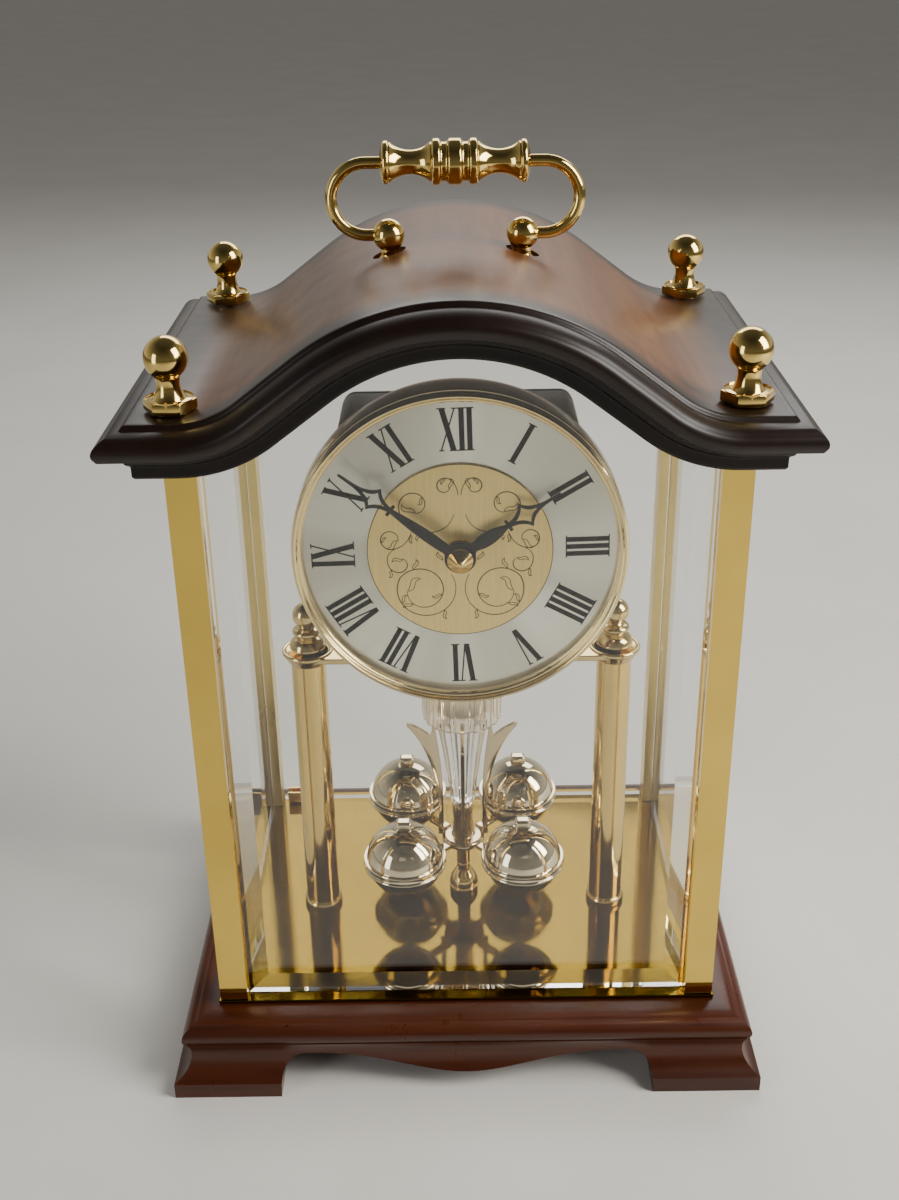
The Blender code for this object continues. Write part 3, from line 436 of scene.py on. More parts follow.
def revolved(profile, steps=96, closed=False, flutes=0, depth=0.0):
    """Turn a profile of (radius, height) points about Z, with lobes round it if flutes is set."""
    bm = bmesh.new()
    rings = []
    for radius, height in profile:
        if radius < TINY:
            rings.append([bm.verts.new((0.0, 0.0, height))])
            continue
        ring = []
        for i in range(steps):
            angle = 2 * math.pi * i / steps
            reach = radius * (1 - depth * (1 - abs(math.sin(flutes * angle / 2)))) if flutes else radius
            ring.append(bm.verts.new((reach * math.cos(angle), reach * math.sin(angle), height)))
        rings.append(ring)
    pairs = list(zip(rings, rings[1:]))
    if closed:
        pairs.append((rings[-1], rings[0]))
    for low, high in pairs:
        for i in range(steps):
            j = (i + 1) % steps
            corners = (low[i % len(low)], low[j % len(low)], high[j % len(high)], high[i % len(high)])
            different = list(dict.fromkeys(corners))
            if len(different) > 2:
                bm.faces.new(different)
    return bm


def prism(bm, corners, low, high):
    """Add an upright prism on a convex outline."""
    base = [bm.verts.new((x, y, low)) for x, y in corners]
    top = [bm.verts.new((x, y, high)) for x, y in corners]
    bm.faces.new(list(reversed(base)))
    bm.faces.new(top)
    for i in range(len(corners)):
        j = (i + 1) % len(corners)
        bm.faces.new((base[i], base[j], top[j], top[i]))


def moulded(half_x, half_y, section, runs=(), shape=None):
    """A solid that is a rectangle at each (inset, height) of the section, from the bottom up."""
    bm = bmesh.new()
    rings = []
    for inset, height in section:
        x, y = half_x - inset, half_y - inset
        along = [-x] + [run for run in runs if abs(run) < x - TINY] + [x]
        ring = []
        for run, side in [(run, -y) for run in along] + [(run, y) for run in reversed(along)]:
            place = shape(run, height) if shape else (run, height)
            ring.append(bm.verts.new((place[0], side, place[1])))
        rings.append(ring)
    count = len(rings[0])
    for low, high in zip(rings, rings[1:]):
        for i in range(count):
            j = (i + 1) % count
            bm.faces.new((low[i], low[j], high[j], high[i]))
    for ring in (rings[0], rings[-1]):
        for i in range(count // 2 - 1):
            bm.faces.new((ring[i], ring[i + 1], ring[count - 2 - i], ring[count - 1 - i]))
    return bm


SHARP = 32.0  # degrees: an edge that turns more than this isn't smoothed


def as_mesh(name, bm, sharp=SHARP):
    bmesh.ops.recalc_face_normals(bm, faces=bm.faces)
    mesh = bpy.data.meshes.new(name)
    bm.to_mesh(mesh)
    bm.free()
    mesh.shade_smooth()
    mesh.set_sharp_from_angle(angle=math.radians(sharp))
    return mesh


def settle(obj, paint, body="case", slot=None, replaces=()):
    """Give a new piece its material, its body and the nodes it stands for; its slot argument is not used."""
    obj.data.materials.clear()
    obj.data.materials.append(PAINTS[paint].material)
    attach(obj, body)
    if replaces:
        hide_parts(*replaces)
    return obj


def added(name, data, at=(0, 0, 0), turn=(0, 0, 0)):
    """A new object in the scene."""
    obj = bpy.data.objects.new(name, data)
    bpy.context.scene.collection.objects.link(obj)
    obj.location = at
    obj.rotation_euler = turn
    return obj


def loose(name, bm, at=(0, 0, 0), turn=(0, 0, 0)):
    """A solid that isn't a piece yet, or is only there to cut others."""
    return added(name, as_mesh(name, bm), at, turn)


def piece(name, bm, paint, at=(0, 0, 0), turn=(0, 0, 0), sharp=SHARP, **rest):
    return settle(added(name, as_mesh(name, bm, sharp), at, turn), paint, **rest)


def lathe(name, profile, steps, at, paint="brass", turn=(0, 0, 0), closed=False, slot="polished_brass", **rest):
    """A turned piece, of polished brass unless it says otherwise."""
    return piece(name, revolved(profile, steps, closed), paint, at, turn, slot=slot, **rest)


def round_edges(obj, width, segments):
    soft = obj.modifiers.new("edges", "BEVEL")
    soft.width = width
    soft.segments = segments
    return soft


def baked(obj):
    """Replace an object's mesh with its evaluated mesh, modifiers and all."""
    bpy.context.view_layer.update()
    evaluated = obj.evaluated_get(bpy.context.evaluated_depsgraph_get())
    mesh = bpy.data.meshes.new_from_object(evaluated)
    if obj.type != "MESH":
        swapped = added(obj.name + ".mesh", mesh)
        swapped.matrix_world = obj.matrix_world
        name = obj.name
        bpy.data.objects.remove(obj)
        swapped.name = name
        return swapped
    obj.modifiers.clear()
    obj.data = mesh
    return obj


def poly_line(curve, points, cyclic):
    """Add a line of (x, y, z) points to a curve."""
    spline = curve.splines.new("POLY")
    spline.points.add(len(points) - 1)
    for point, place in zip(spline.points, points):
        point.co = (*place, 1.0)
    spline.use_cyclic_u = cyclic
    return spline


def wire(name, radius, resolution):
    """An empty curve whose lines are drawn as round wire."""
    curve = bpy.data.curves.new(name, "CURVE")
    curve.dimensions = "3D"
    curve.bevel_depth = radius
    curve.bevel_resolution = resolution
    return curve


def drawn(name, outlines, thickness, edge=0.0):
    """A flat plate from closed outlines, holes included, with a rounded edge; flat along local Z."""
    curve = bpy.data.curves.new(name, "CURVE")
    curve.dimensions = "2D"
    curve.fill_mode = "BOTH"
    curve.extrude = thickness / 2 - edge
    curve.bevel_depth = edge
    curve.bevel_resolution = 2
    curve.offset = -edge
    for outline in outlines:
        poly_line(curve, [(x, y, 0.0) for x, y in outline], True)
    obj = baked(added(name, curve))
    bm = bmesh.new()
    bm.from_mesh(obj.data)
    bmesh.ops.remove_doubles(bm, verts=bm.verts, dist=0.002 * MM)
    bmesh.ops.recalc_face_normals(bm, faces=bm.faces)
    bm.to_mesh(obj.data)
    bm.free()
    obj.data.shade_smooth()
    obj.data.set_sharp_from_angle(angle=math.radians(30.0))
    return obj


def plate(name, outlines, thickness, paint, at=(0, 0, 0), turn=(0, 0, 0), edge=0.0, **rest):
    obj = drawn(name, outlines, thickness, edge)
    obj.location = at
    obj.rotation_euler = turn
    return settle(obj, paint, **rest)


def cut(obj, tools):
    """Subtract tools from an object, then drop them."""
    for tool in tools:
        boolean = obj.modifiers.new("cut", "BOOLEAN")
        boolean.operation = "DIFFERENCE"
        boolean.object = tool
    obj = baked(obj)
    for tool in tools:
        bpy.data.objects.remove(tool)
    return obj


def box_bm(size):
    bm = bmesh.new()
    bmesh.ops.create_cube(bm, size=1.0, matrix=Matrix.Diagonal((*size, 1.0)))
    return bm


# ---------------------------------------------------------------- roof

def arched(run, offset):
    """Where a point at a run along the arch, and an offset above it, lies in X and Z."""
    side = -1 if run < 0 else 1
    run = abs(run)
    if run < CROWN_RADIUS * ARCH_ANGLE:
        angle = run / CROWN_RADIUS
        reach = CROWN_RADIUS + offset
        x = reach * math.sin(angle)
        z = CROWN_Z - CROWN_RADIUS + reach * math.cos(angle)
    elif run < REVERSE_START:
        down = run - CROWN_RADIUS * ARCH_ANGLE
        x = (CROWN_RADIUS + offset) * SIN + down * COS
        z = CROWN_Z - CROWN_RADIUS + (CROWN_RADIUS + offset) * COS - down * SIN
    elif run < SHOULDER_START:
        angle = ARCH_ANGLE - (run - REVERSE_START) / FOOT_RADIUS
        reach = FOOT_RADIUS - offset
        x = SHOULDER_X - reach * math.sin(angle)
        z = ROOF_Z + FOOT_RADIUS - reach * math.cos(angle)
    else:
        x = run - STRETCH
        z = ROOF_Z + offset
    return side * x, z


def arch_runs(step=1.6 * MM):
    """Places along the arch, from shoulder to shoulder, where the roof's rings get a corner."""
    count = int(SHOULDER_START / step)
    half = [SHOULDER_START * i / count for i in range(1, count + 1)]
    return [-run for run in reversed(half)] + [0.0] + half


def make_roof():
    cap = half_size("roof_cap")
    frieze_x = half_size("roof_frieze").x - 2.2 * MM
    frieze_y = half_size("roof_frieze").y - 2.2 * MM
    section = soften(in_mm([(0.8, 0.0), (0.0, 0.8), (0.0, 4.2), (-1.4, 5.2), (-2.2, 7.3)]), 0.5 * MM)
    piece("roof_frieze_wood", moulded(frieze_x + STRETCH, frieze_y, section, arch_runs(), arched),
          "frieze", slot="mahogany", replaces=["roof_frieze"])

    lower = in_mm([(3.0, 7.6), (1.2, 8.2)])
    lip = arc(2.9 * MM, 10.9 * MM, 2.9 * MM, 205, 118, 9)
    swell = bow((1.6 * MM, 13.5 * MM), (3.0 * MM, 15.0 * MM), (6.0 * MM, 15.7 * MM), 8)[1:]
    step = soften([(6.0, 15.7), (7.3, 15.9), (7.9, 16.9), (8.6, 17.4), (10.0, 17.6)], 0.4, 3)
    section = lower + lip + swell + in_mm(step[1:])
    roof = loose("roof_cap_wood", moulded(cap.x + STRETCH, cap.y, section, arch_runs(), arched))
    pocket = in_mm([(0, -4), (5.5, -4), (5.5, 9), (0, 9)])
    pocket_z = 288.5 * MM
    roof = cut(roof, [loose("pocket", revolved(pocket, 48), upright("handle_post_" + name, pocket_z))
                      for name in SIDES])
    roof.data.set_sharp_from_angle(angle=math.radians(SHARP))
    settle(roof, "roof", slot="mahogany", replaces=["roof_cap"])


def make_finials():
    """A ball on a flared neck over a hexagonal nut and a thin washer, at each corner of the roof."""
    radius = 6.7 * MM
    hexagon = soften(arc(0, 0, 8.3 * MM, 0, 300, 5), 0.5 * MM, 2, closed=True)
    washer = soften([(0.0, 0.9), (6.9, 0.9), (6.9, 0.0), (0.0, 0.0)], 0.2)
    for corner in CORNERS:
        node = "finial_" + corner
        top = top_of(node)
        ball = arc(0.0, top - radius, radius, 90, -52, 26)
        neck_z = top - 2 * radius - 0.2 * MM
        flare = arc(11.3 * MM, neck_z - 0.8 * MM, 7.7 * MM, 166, 236, 14)
        foot_z = bottom_of(node)
        foot = in_mm([(7.2, 3.9), (7.2, 2.4), (0.0, 2.4)], foot_z)
        lathe(node + "_turned", ball + flare + foot, 64, upright(node), replaces=[node])
        plate(node + "_nut", [hexagon], 3.4 * MM, "brass", upright(node, foot_z + 1.9 * MM),
              edge=0.4 * MM, slot="polished_brass")
        lathe(node + "_washer", in_mm(washer), 48, upright(node, foot_z - 0.1 * MM))


HANDLE_PIVOT = Vector((0.0, 0.0, 294.0 * MM))


def make_handle_posts():
    ball = arc(0.0, HANDLE_PIVOT.z, 5.3 * MM, 90, -56, 24)
    stem = [(2.9, -5.4), (2.7, -6.3), (3.1, -7.3), (4.4, -8.2), (4.6, -8.8), (4.6, -9.6)]
    profile = ball + soften(in_mm(stem, HANDLE_PIVOT.z), 0.4 * MM) + [(0.0, HANDLE_PIVOT.z - 9.6 * MM)]
    for name in SIDES:
        node = "handle_post_" + name
        lathe(node + "_turned", profile, 56, upright(node), replaces=[node])


def make_bail():
    """The bent wire: an arm under each half of the grip, and a half circle down to each post."""
    rise = centre_of("handle_grip").z - HANDLE_PIVOT.z
    reach = half_size("handle_bail").x
    thickness = 1.95 * MM
    turn_x = reach - thickness - rise / 2
    half = [(18.5 * MM, 0.0), (24.0 * MM, 0.0)] + arc(turn_x, rise / 2, rise / 2, -90, 90, 32)
    path = [(-x, z) for x, z in half] + [(x, z) for x, z in reversed(half)]
    curve = wire("handle_bail_wire", thickness, 8)
    curve.use_fill_caps = True
    poly_line(curve, [(x, 0.0, z) for x, z in path], False)
    bail = baked(added("handle_bail_wire", curve, HANDLE_PIVOT))
    bail.data.shade_smooth()
    settle(bail, "brass", "handle", "polished_brass", ["handle_bail"])


def make_grip():
    """Two waisted drums either side of a ringed middle."""
    end = half_size("handle_grip").x
    half = soften([(2.6, end / MM), (3.4, end / MM), (6.4, 23.2), (6.8, 22.6), (6.8, 21.6), (6.2, 21.2)], 0.35)
    half += arc(13.4, 14.3, 9.6, 138, 222, 18)
    half += soften([(6.2, 7.6), (6.4, 7.4), (7.3, 7.0), (7.3, 4.9), (6.2, 4.4), (6.2, 2.6), (7.3, 1.9),
                    (7.3, 0.0)], 0.55)[:-1]
    half = in_mm(half)
    bore = 2.0 * MM
    profile = half + [(r, -z) for r, z in reversed(half)] + [(bore, -end), (bore, end)]
    lathe("handle_grip_turned", profile, 72, centre_of("handle_grip"), turn=SIDEWAYS, closed=True,
          body="handle", replaces=["handle_grip"])


# ---------------------------------------------------------------- base

def apron_outline(foot_inner, bottom):
    """The opening between two feet: an ogee that drops in the middle."""
    shoulder = foot_inner - 10.0 * MM
    drop, crest, haunch = 8.0 * MM, 14.8 * MM, 5.0 * MM
    half = []
    for i in range(25):
        blend = (1 - math.cos(math.pi * i / 24)) / 2
        half.append(((shoulder - 2 * MM) * i / 24, drop + (crest - drop) * blend))
    reach = foot_inner - 0.5 * MM - shoulder
    turn = arc(0.0, 0.0, 1.0, 90, 8, 16)
    half += [(shoulder + reach * x, haunch + (crest - haunch) * z) for x, z in turn]
    half.append((foot_inner, bottom))
    return mirrored(half)


def make_base():
    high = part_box("base_frame")[1]
    section = [(0.0, 0.0), (0.0, 6.1), (0.5, 6.4)]
    section += arc(-2.99, 15.11, 9.38, -66.5, 32.8, 18)
    section += arc(7.0, 23.4, 3.3, 238, 112, 14)
    section += soften([(6.0, 26.9), (7.6, 27.4), (10.4, 28.7), (14.0, 29.5)], 0.8)[1:]
    base = loose("base_frame_wood", moulded(high.x, high.y, in_mm(section)))
    rail_width = 26.8 * MM
    foot = 38.6 * MM
    beyond = 10.0 * MM  # how far a cutter reaches past the bottom
    through = 300.0 * MM  # long enough to cut both opposite rails
    hollow = loose("hollow", box_bm((2 * (high.x - rail_width), 2 * (high.y - rail_width), 100.0 * MM)))
    front = drawn("apron_front", [apron_outline(high.x - foot, -beyond)], through)
    front.rotation_euler = FRONT
    side = drawn("apron_side", [apron_outline(high.y - foot, -beyond)], through)
    side.rotation_euler = (math.radians(90.0), 0.0, math.radians(90.0))
    socket = in_mm([(0, -1), (4.2, -1), (4.2, 14), (0, 14)])
    sockets = [loose("socket", revolved(socket, 32), upright("tie_bolt_" + corner)) for corner in CORNERS]
    base = cut(base, [hollow, front, side] + sockets)
    base.data.set_sharp_from_angle(angle=math.radians(SHARP))
    settle(base, "mahogany", slot="mahogany", replaces=["base_frame"])
    base.data.materials.append(PAINTS["mahogany_side"].material)
    for face in base.data.polygons:
        middle = face.center
        face.material_index = int(abs(middle.x) - high.x > abs(middle.y) - high.y)


# ---------------------------------------------------------------- columns and bridge

def make_columns():
    for name in SIDES:
        node = "column_" + name
        foot = bottom_of(node)
        top = top_of(node)
        outline = [(0.0, top), (6.4 * MM, top)]
        outline += soften([(6.4 * MM, top), (6.4 * MM, foot + 3.2 * MM), (6.9 * MM, foot + 3.0 * MM),
                           (7.4 * MM, foot + 2.0 * MM), (7.4 * MM, foot), (0.0, foot)], 0.35 * MM)[1:]
        lathe(node + "_tube", outline, 72, upright(node), replaces=[node])
        cup = [(0.0, -0.6), (7.9, -0.6), (8.3, 0.0), (9.1, 0.0), (9.4, -0.5), (9.4, -1.4), (8.9, -2.0),
               (8.3, -2.4), (7.3, -4.6), (6.8, -5.2), (0.0, -5.2)]
        lathe(node + "_cup", in_mm(soften(cup, 0.35), top_of("bridge_plate")), 80, upright(node), "rose_brass")

        node = "column_finial_" + name
        top = top_of(node)
        radius = 4.8 * MM
        profile = arc(0.0, top - radius, radius, 90, -50, 22)
        turned = [(2.7, -9.0), (3.2, -9.6), (4.8, -10.2), (5.3, -11.2), (4.8, -12.3), (3.4, -12.9),
                  (3.3, -13.4), (5.0, -14.2), (6.0, -15.2), (6.5, -16.6), (6.7, -17.7), (0.0, -17.7)]
        profile += in_mm(soften(turned, 0.5), top)
        lathe(node + "_turned", profile, 64, upright(node), "rose_brass", replaces=[node])


def make_bridge():
    low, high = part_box("bridge_plate")
    column = centre_of("column_left")
    end = 8.0 * MM
    outline = mirrored([(abs(column.x) + 2 * MM, -end), (abs(column.x) + 2 * MM, end)])
    plate("bridge_tray", [outline], 2.2 * MM, "rose_brass", (0.0, column.y, high.z - 1.7 * MM),
          edge=0.4 * MM, slot="polished_brass", replaces=["bridge_plate"])
    ring = soften([(4.0, 0.0), (18.9, 0.0), (18.9, 3.4), (4.0, 3.4)], 0.5, closed=True)
    lathe("bridge_boss", in_mm(ring, low.z), 72, AXIS, "rose_brass", closed=True)


# ---------------------------------------------------------------- dial

def on_dial(y):
    """The point of the dial's own axis at a depth."""
    return (DIAL.x, y, DIAL.z)


def make_dial():
    back = back_of("dial_drum")
    depth = back - front_of("dial_plate")
    wall = 0.9 * MM
    rim = BEZEL_RADIUS - 0.2 * MM
    drum = [(5.0 * MM, 0.0), (rim - 1.0 * MM, 0.0), (rim, 1.0 * MM), (rim, depth - 0.6 * MM),
            (DRUM_RADIUS - wall, depth - 0.6 * MM), (DRUM_RADIUS - wall, wall), (5.0 * MM, wall)]
    # Dark brass on the drum: a painted reflection of the roof above it.
    lathe("dial_drum_shell", soften(drum, 0.4 * MM, closed=True), 144, on_dial(back), "drum_brass_painted_reflection", FRONT,
          closed=True, replaces=["dial_drum"])

    radius = BEZEL_RADIUS / MM
    ring = [(radius, 0.0), (radius, 1.6), (radius - 0.35, 2.4), (radius - 0.5, 3.3), (radius - 1.1, 3.9),
            (radius - 1.8, 3.6), (radius - 2.2, 2.7), (radius - 2.5, 2.3), (radius - 3.0, 2.3),
            (radius - 3.5, 1.7), (radius - 3.7, 0.2), (radius - 2.6, 0.0)]
    lathe("dial_bezel_ring", in_mm(soften(ring, 0.3, closed=True)), 160, on_dial(back_of("dial_bezel")),
          "bezel_brass", FRONT, closed=True, replaces=["dial_bezel"])

    disc = [(4.2 * MM, 0.0), (DIAL_RADIUS, 0.0), (DIAL_RADIUS, 1.0 * MM), (4.2 * MM, 1.0 * MM)]
    lathe("dial_face", disc, 160, on_dial(back_of("dial_plate")), "silver", FRONT, closed=True,
          slot="silvered_dial", replaces=["dial_plate"])
    radius = DISC_RADIUS / MM
    disc = in_mm([(4.2, 0.0), (radius, 0.0), (radius, 0.5), (radius - 0.1, 0.6), (4.2, 0.6)])
    lathe("dial_gilt_disc", disc, 144, on_dial(back_of("dial_centre_disc")), "gilt", FRONT, closed=True,
          slot="gilt_disc", replaces=["dial_centre_disc"])


DIAL_TURN = 1.3  # degrees, as photographed
STROKE = 1.74 * MM
HAIR = 0.42 * MM
OVERHANG = 0.62 * MM
LETTER_GAP = 0.86 * MM
LETTER_WIDTH = {"I": STROKE, "V": 5.1 * MM, "X": 5.6 * MM}


def letter_strokes(letter, left, low, high):
    """Strokes and serifs of one numeral letter as four-cornered outlines."""
    width = LETTER_WIDTH[letter]
    right = left + width

    def bar(x0, x1, y0, y1, w):
        return [(x0, y0), (x0 + w, y0), (x1 + w, y1), (x1, y1)]

    def serif(x0, x1, y):
        return [(x0 - OVERHANG, y), (x1 + OVERHANG, y), (x1 + OVERHANG, y + HAIR), (x0 - OVERHANG, y + HAIR)]

    if letter == "I":
        return [bar(left, left, low, high, STROKE), serif(left, right, low), serif(left, right, high - HAIR)]
    if letter == "V":
        point = left + width * 0.5
        return [bar(point - STROKE * 0.35, left, low, high, STROKE * 1.05),
                bar(point + STROKE * 0.35, right - HAIR * 1.3, low, high, HAIR * 1.2),
                serif(left, left + STROKE, high - HAIR), serif(right - HAIR * 2, right - HAIR, high - HAIR)]
    return [bar(right - STROKE * 1.1, left, low, high, STROKE * 1.1),
            bar(left + HAIR * 0.4, right - HAIR * 1.5, low, high, HAIR * 1.2),
            serif(left, left + STROKE, high - HAIR), serif(right - HAIR * 2, right - HAIR, high - HAIR),
            serif(left + HAIR, left + HAIR * 2, low), serif(right - STROKE, right, low)]


def make_numerals():
    """Roman hour marks, their feet towards the middle, standing a hair proud of the dial."""
    numerals = ("I", "II", "III", "IIII", "V", "VI", "VII", "VIII", "IX", "X", "XI", "XII")
    low, high = DIAL_RADIUS - 18.6 * MM, DIAL_RADIUS - 3.8 * MM
    bm = bmesh.new()
    for hour, text in enumerate(numerals, start=1):
        span = sum(LETTER_WIDTH[c] for c in text) + LETTER_GAP * (len(text) - 1)
        angle = math.radians(30.0 * hour - DIAL_TURN)
        left = -span / 2
        for letter in text:
            for outline in letter_strokes(letter, left, low, high):
                turned = [(x * math.cos(angle) + y * math.sin(angle), y * math.cos(angle) - x * math.sin(angle))
                          for x, y in outline]
                prism(bm, turned, -0.05 * MM, 0.09 * MM)
            left += LETTER_WIDTH[letter] + LETTER_GAP
    piece("dial_numerals", bm, "ink", on_dial(front_of("dial_plate")), FRONT, slot="black_hands")


def leaf(x, y, length, degrees, side=1):
    """A hooked leaf outline with its stem at (x, y)."""
    turn = math.radians(degrees)
    shape = bows((0.0, 0.0), ((0.10, 0.42), (0.62, 0.34), 7), ((0.86, 0.34), (1.0, 0.62), 5),
                 ((1.08, 0.10), (0.66, 0.06), 6), ((0.24, 0.10), (0.0, 0.0), 6))
    shape = [(length * px, side * length * py) for px, py in shape]
    return [(x + px * math.cos(turn) - py * math.sin(turn), y + px * math.sin(turn) + py * math.cos(turn))
            for px, py in shape]


def sprout(line, share, length, lean, side=1):
    """A leaf that grows from a scroll at a share of its points and leans off its run."""
    i = min(int(share * (len(line) - 1)), len(line) - 2)
    (x0, y0), (x1, y1) = line[i], line[i + 1]
    return leaf(x1, y1, length, math.degrees(math.atan2(y1 - y0, x1 - x0)) + lean, side)


def scrolls():
    """Scrollwork for the right half of the gilt disc, in millimetres from its middle."""
    top = bow((0.5, 20.4), (0.7, 24.2), (3.2, 26.0), 10)[:-1] + spiral(4.9, 23.6, 3.0, 1.9, 124, -150, 36)
    upper = bows((2.0, 13.6), ((3.4, 7.6), (10.4, 7.0), 14), ((19.4, 7.0), (20.2, 15.6), 14))[:-1]
    upper += spiral(15.1, 17.0, 5.2, 2.9, -14, 262, 50)
    flank = spiral(23.4, 4.7, 2.6, 3.6, 190, -98, 36)[:-1] + bow((22.9, 1.1), (18.2, 1.6), (16.2, 7.2), 12)
    side = bow((21.4, 1.4), (25.6, -0.4), (24.4, -4.4), 10)[:-1] + spiral(20.4, -4.2, 4.0, 2.0, -4, -236, 40)
    great = spiral(11.9, -13.9, 10.4, 9.6, 148, 388, 60)[:-1] + spiral(13.1, -14.6, 9.0, 5.0, 34, 360, 70)
    flank.reverse()
    lines = [top, upper, flank, side, great]
    leaves = [sprout(top, 1.0, 3.2, 10, -1), sprout(top, 0.30, 2.2, -34, -1),
              sprout(upper, 1.0, 4.8, 6), sprout(upper, 0.20, 3.0, -40, -1), sprout(upper, 0.70, 2.6, 38),
              sprout(flank, 1.0, 4.2, 14), sprout(flank, 0.02, 2.6, 0, -1), sprout(flank, 0.45, 2.2, 36),
              sprout(side, 1.0, 3.4, -8, -1), sprout(side, 0.30, 2.6, 30),
              sprout(great, 1.0, 5.6, 8), sprout(great, 0.90, 3.2, -34, -1), sprout(great, 0.72, 3.0, 36),
              sprout(great, 0.52, 3.4, -30, -1), sprout(great, 0.34, 3.0, 34),
              sprout(great, 0.16, 3.0, -34, -1), leaf(6.0, -3.2, 3.0, 34)]
    return lines, leaves


def make_scrollwork():
    """Fine engraved lines, drawn as thin raised ribbons, the same on both halves."""
    curve = wire("dial_scrollwork", 0.17 * MM, 1)
    lines, leaves = scrolls()
    rim = arc(0.0, 0.0, DISC_RADIUS / MM - 0.15, 0, 357, 119)
    for side in (-1, 1):
        for points, cyclic in [(line, False) for line in lines] + [(line, True) for line in leaves]:
            add_line(curve, points, side, cyclic, 0.85 if cyclic else 1.0)
    add_line(curve, rim, 1, True, 0.8)
    obj = baked(added("dial_scrollwork", curve))
    obj.data.shade_smooth()
    obj.scale = (1.0, 1.0, 0.35)
    obj.location = on_dial(front_of("dial_centre_disc"))
    obj.rotation_euler = FRONT
    settle(obj, "line", slot="gilt_disc")


def add_line(curve, points, side, cyclic, width):
    """Add one engraved line, on the side given; an open one swells in the middle."""
    spline = poly_line(curve, [(side * x * MM, y * MM, 0.0) for x, y in points], cyclic)
    for i, point in enumerate(spline.points):
        swell = 0.75 + 0.45 * math.sin(math.pi * i / (len(points) - 1))
        point.radius = width if cyclic else width * swell


# ---------------------------------------------------------------- hands

def hand_outlines(length, leaf_end, blade, wing, line):
    """Leaf, collar, open four-pointed frame and needle of a hand pointing to +Y, in millimetres."""
    collar = leaf_end + 1.1
    wing_y = collar + 6.3
    neck = collar + 12.4
    hub = arc(0.0, 0.0, 5.3, -90, 58, 24)
    belly = (blade * 1.3, 6.4 + (leaf_end - 6.4) * 0.40)
    leaf_side = bows(hub[-1], ((1.5, 5.0), (1.8, 6.4), 5), (belly, (0.85, leaf_end - 0.4), 16))[1:]
    cross = [(0.85, leaf_end), (2.1, leaf_end), (2.2, leaf_end + 0.5), (2.1, collar), (0.95, collar + 0.05)]
    wings = bows(cross[-1], ((1.4, collar + 4.2), (wing, wing_y), 14),
                 ((1.6, wing_y + 1.8), (0.85, neck), 14))[1:]
    needle = [(0.62, neck + 1.6), (0.42, length - 0.3), (0.0, length)]
    outer = mirrored(hub + leaf_side + cross + wings + needle)
    inner_rise = bow((0.02, collar + 1.3 * line), (0.55, collar + 4.6), (wing - line * 1.5, wing_y - 0.10), 12)
    inner_fall = bow((wing - line * 1.5, wing_y + 0.12), (0.75, wing_y + 1.3), (0.30, neck - 2.3), 12)
    window = mirrored(inner_rise + inner_fall + [(0.0, neck - 1.7)])
    return [outer, window]


def make_hands():
    thickness = 0.5 * MM
    for name, length, leaf_end, blade, wing, degrees in (
            ("hour_hand", 40.0, 18.9, 2.8, 4.9, 56.4), ("minute_hand", 50.0, 28.3, 1.9, 4.5, -52.2)):
        outlines = [in_mm(outline) for outline in hand_outlines(length, leaf_end, blade, wing, 1.25)]
        back = back_of(name) if name == "minute_hand" else front_of(name) + thickness
        plate(name + "_blade", outlines, thickness, "hands", on_dial(back - thickness / 2),
              (math.radians(90.0), math.radians(degrees), 0.0), edge=0.1 * MM, body=name, slot="black_hands",
              replaces=[name])
    pipe = soften([(0.0, 0.0), (2.3, 0.0), (2.3, 24.0), (0.0, 24.0)], 0.2)
    lathe("hour_hand_pipe", in_mm(pipe), 40, on_dial(front_of("hour_hand") + 24.4 * MM), turn=FRONT,
          body="hour_hand")

    tall = 2 * half_size("hand_nut").y / MM
    nut = [(0.0, 0.0), (4.3, 0.0), (4.3, 1.5), (4.05, 1.75), (0.9, tall - 0.1), (0.5, tall), (0.0, tall)]
    lathe("hand_nut_turned", in_mm(soften(nut, 0.12)), 64, on_dial(back_of("hand_nut")), turn=FRONT,
          body="minute_hand", replaces=["hand_nut"])


# ---------------------------------------------------------------- movement

def make_movement():
    """The plastic case and its rear cover, with the battery hatch."""
    case_low, case_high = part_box("movement_case")
    half_x = case_high.x
    corner = 5.0 * MM

    def outline(inset):
        half = soften([(0.0, case_low.z + inset), (half_x - inset, case_low.z + inset),
                       (half_x - inset, case_low.z + 6 * MM)], 2.5 * MM, 5)[1:]
        half += arc(half_x - corner, case_high.z - corner, corner - inset, 0, 90, 20)
        return mirrored(half)

    for node, inset, edge in (("movement_case", 0.0, 1.6 * MM), ("movement_cover", 0.3 * MM, 0.6 * MM)):
        plate(node + "_shell", [outline(inset)], 2 * half_size(node).y, "movement",
              (0.0, centre_of(node).y, 0.0), FRONT, edge=edge, slot="movement_plastic", replaces=[node])
    back = back_of("movement_cover")
    hatch = soften([(-27.0, -9.0), (27.0, -9.0), (27.0, 9.0), (-27.0, 9.0)], 2.5, 4, closed=True)
    cell = centre_of("battery")
    plate("battery_hatch", [in_mm(hatch)], 1.2 * MM, "movement",
          (cell.x, back + 0.4 * MM, cell.z), FRONT, edge=0.4 * MM, slot="movement_plastic")
    rib = in_mm(soften([(-6.0, -0.4), (6.0, -0.4), (6.0, 0.4), (-6.0, 0.4)], 0.3, 2, closed=True))
    for i in range(5):
        plate("hatch_rib_%d" % (i + 1), [rib], 1.0 * MM, "movement",
              (cell.x + 17.0 * MM, back + 1.1 * MM, cell.z + (i - 2) * 1.9 * MM), FRONT, edge=0.2 * MM,
              slot="movement_plastic")


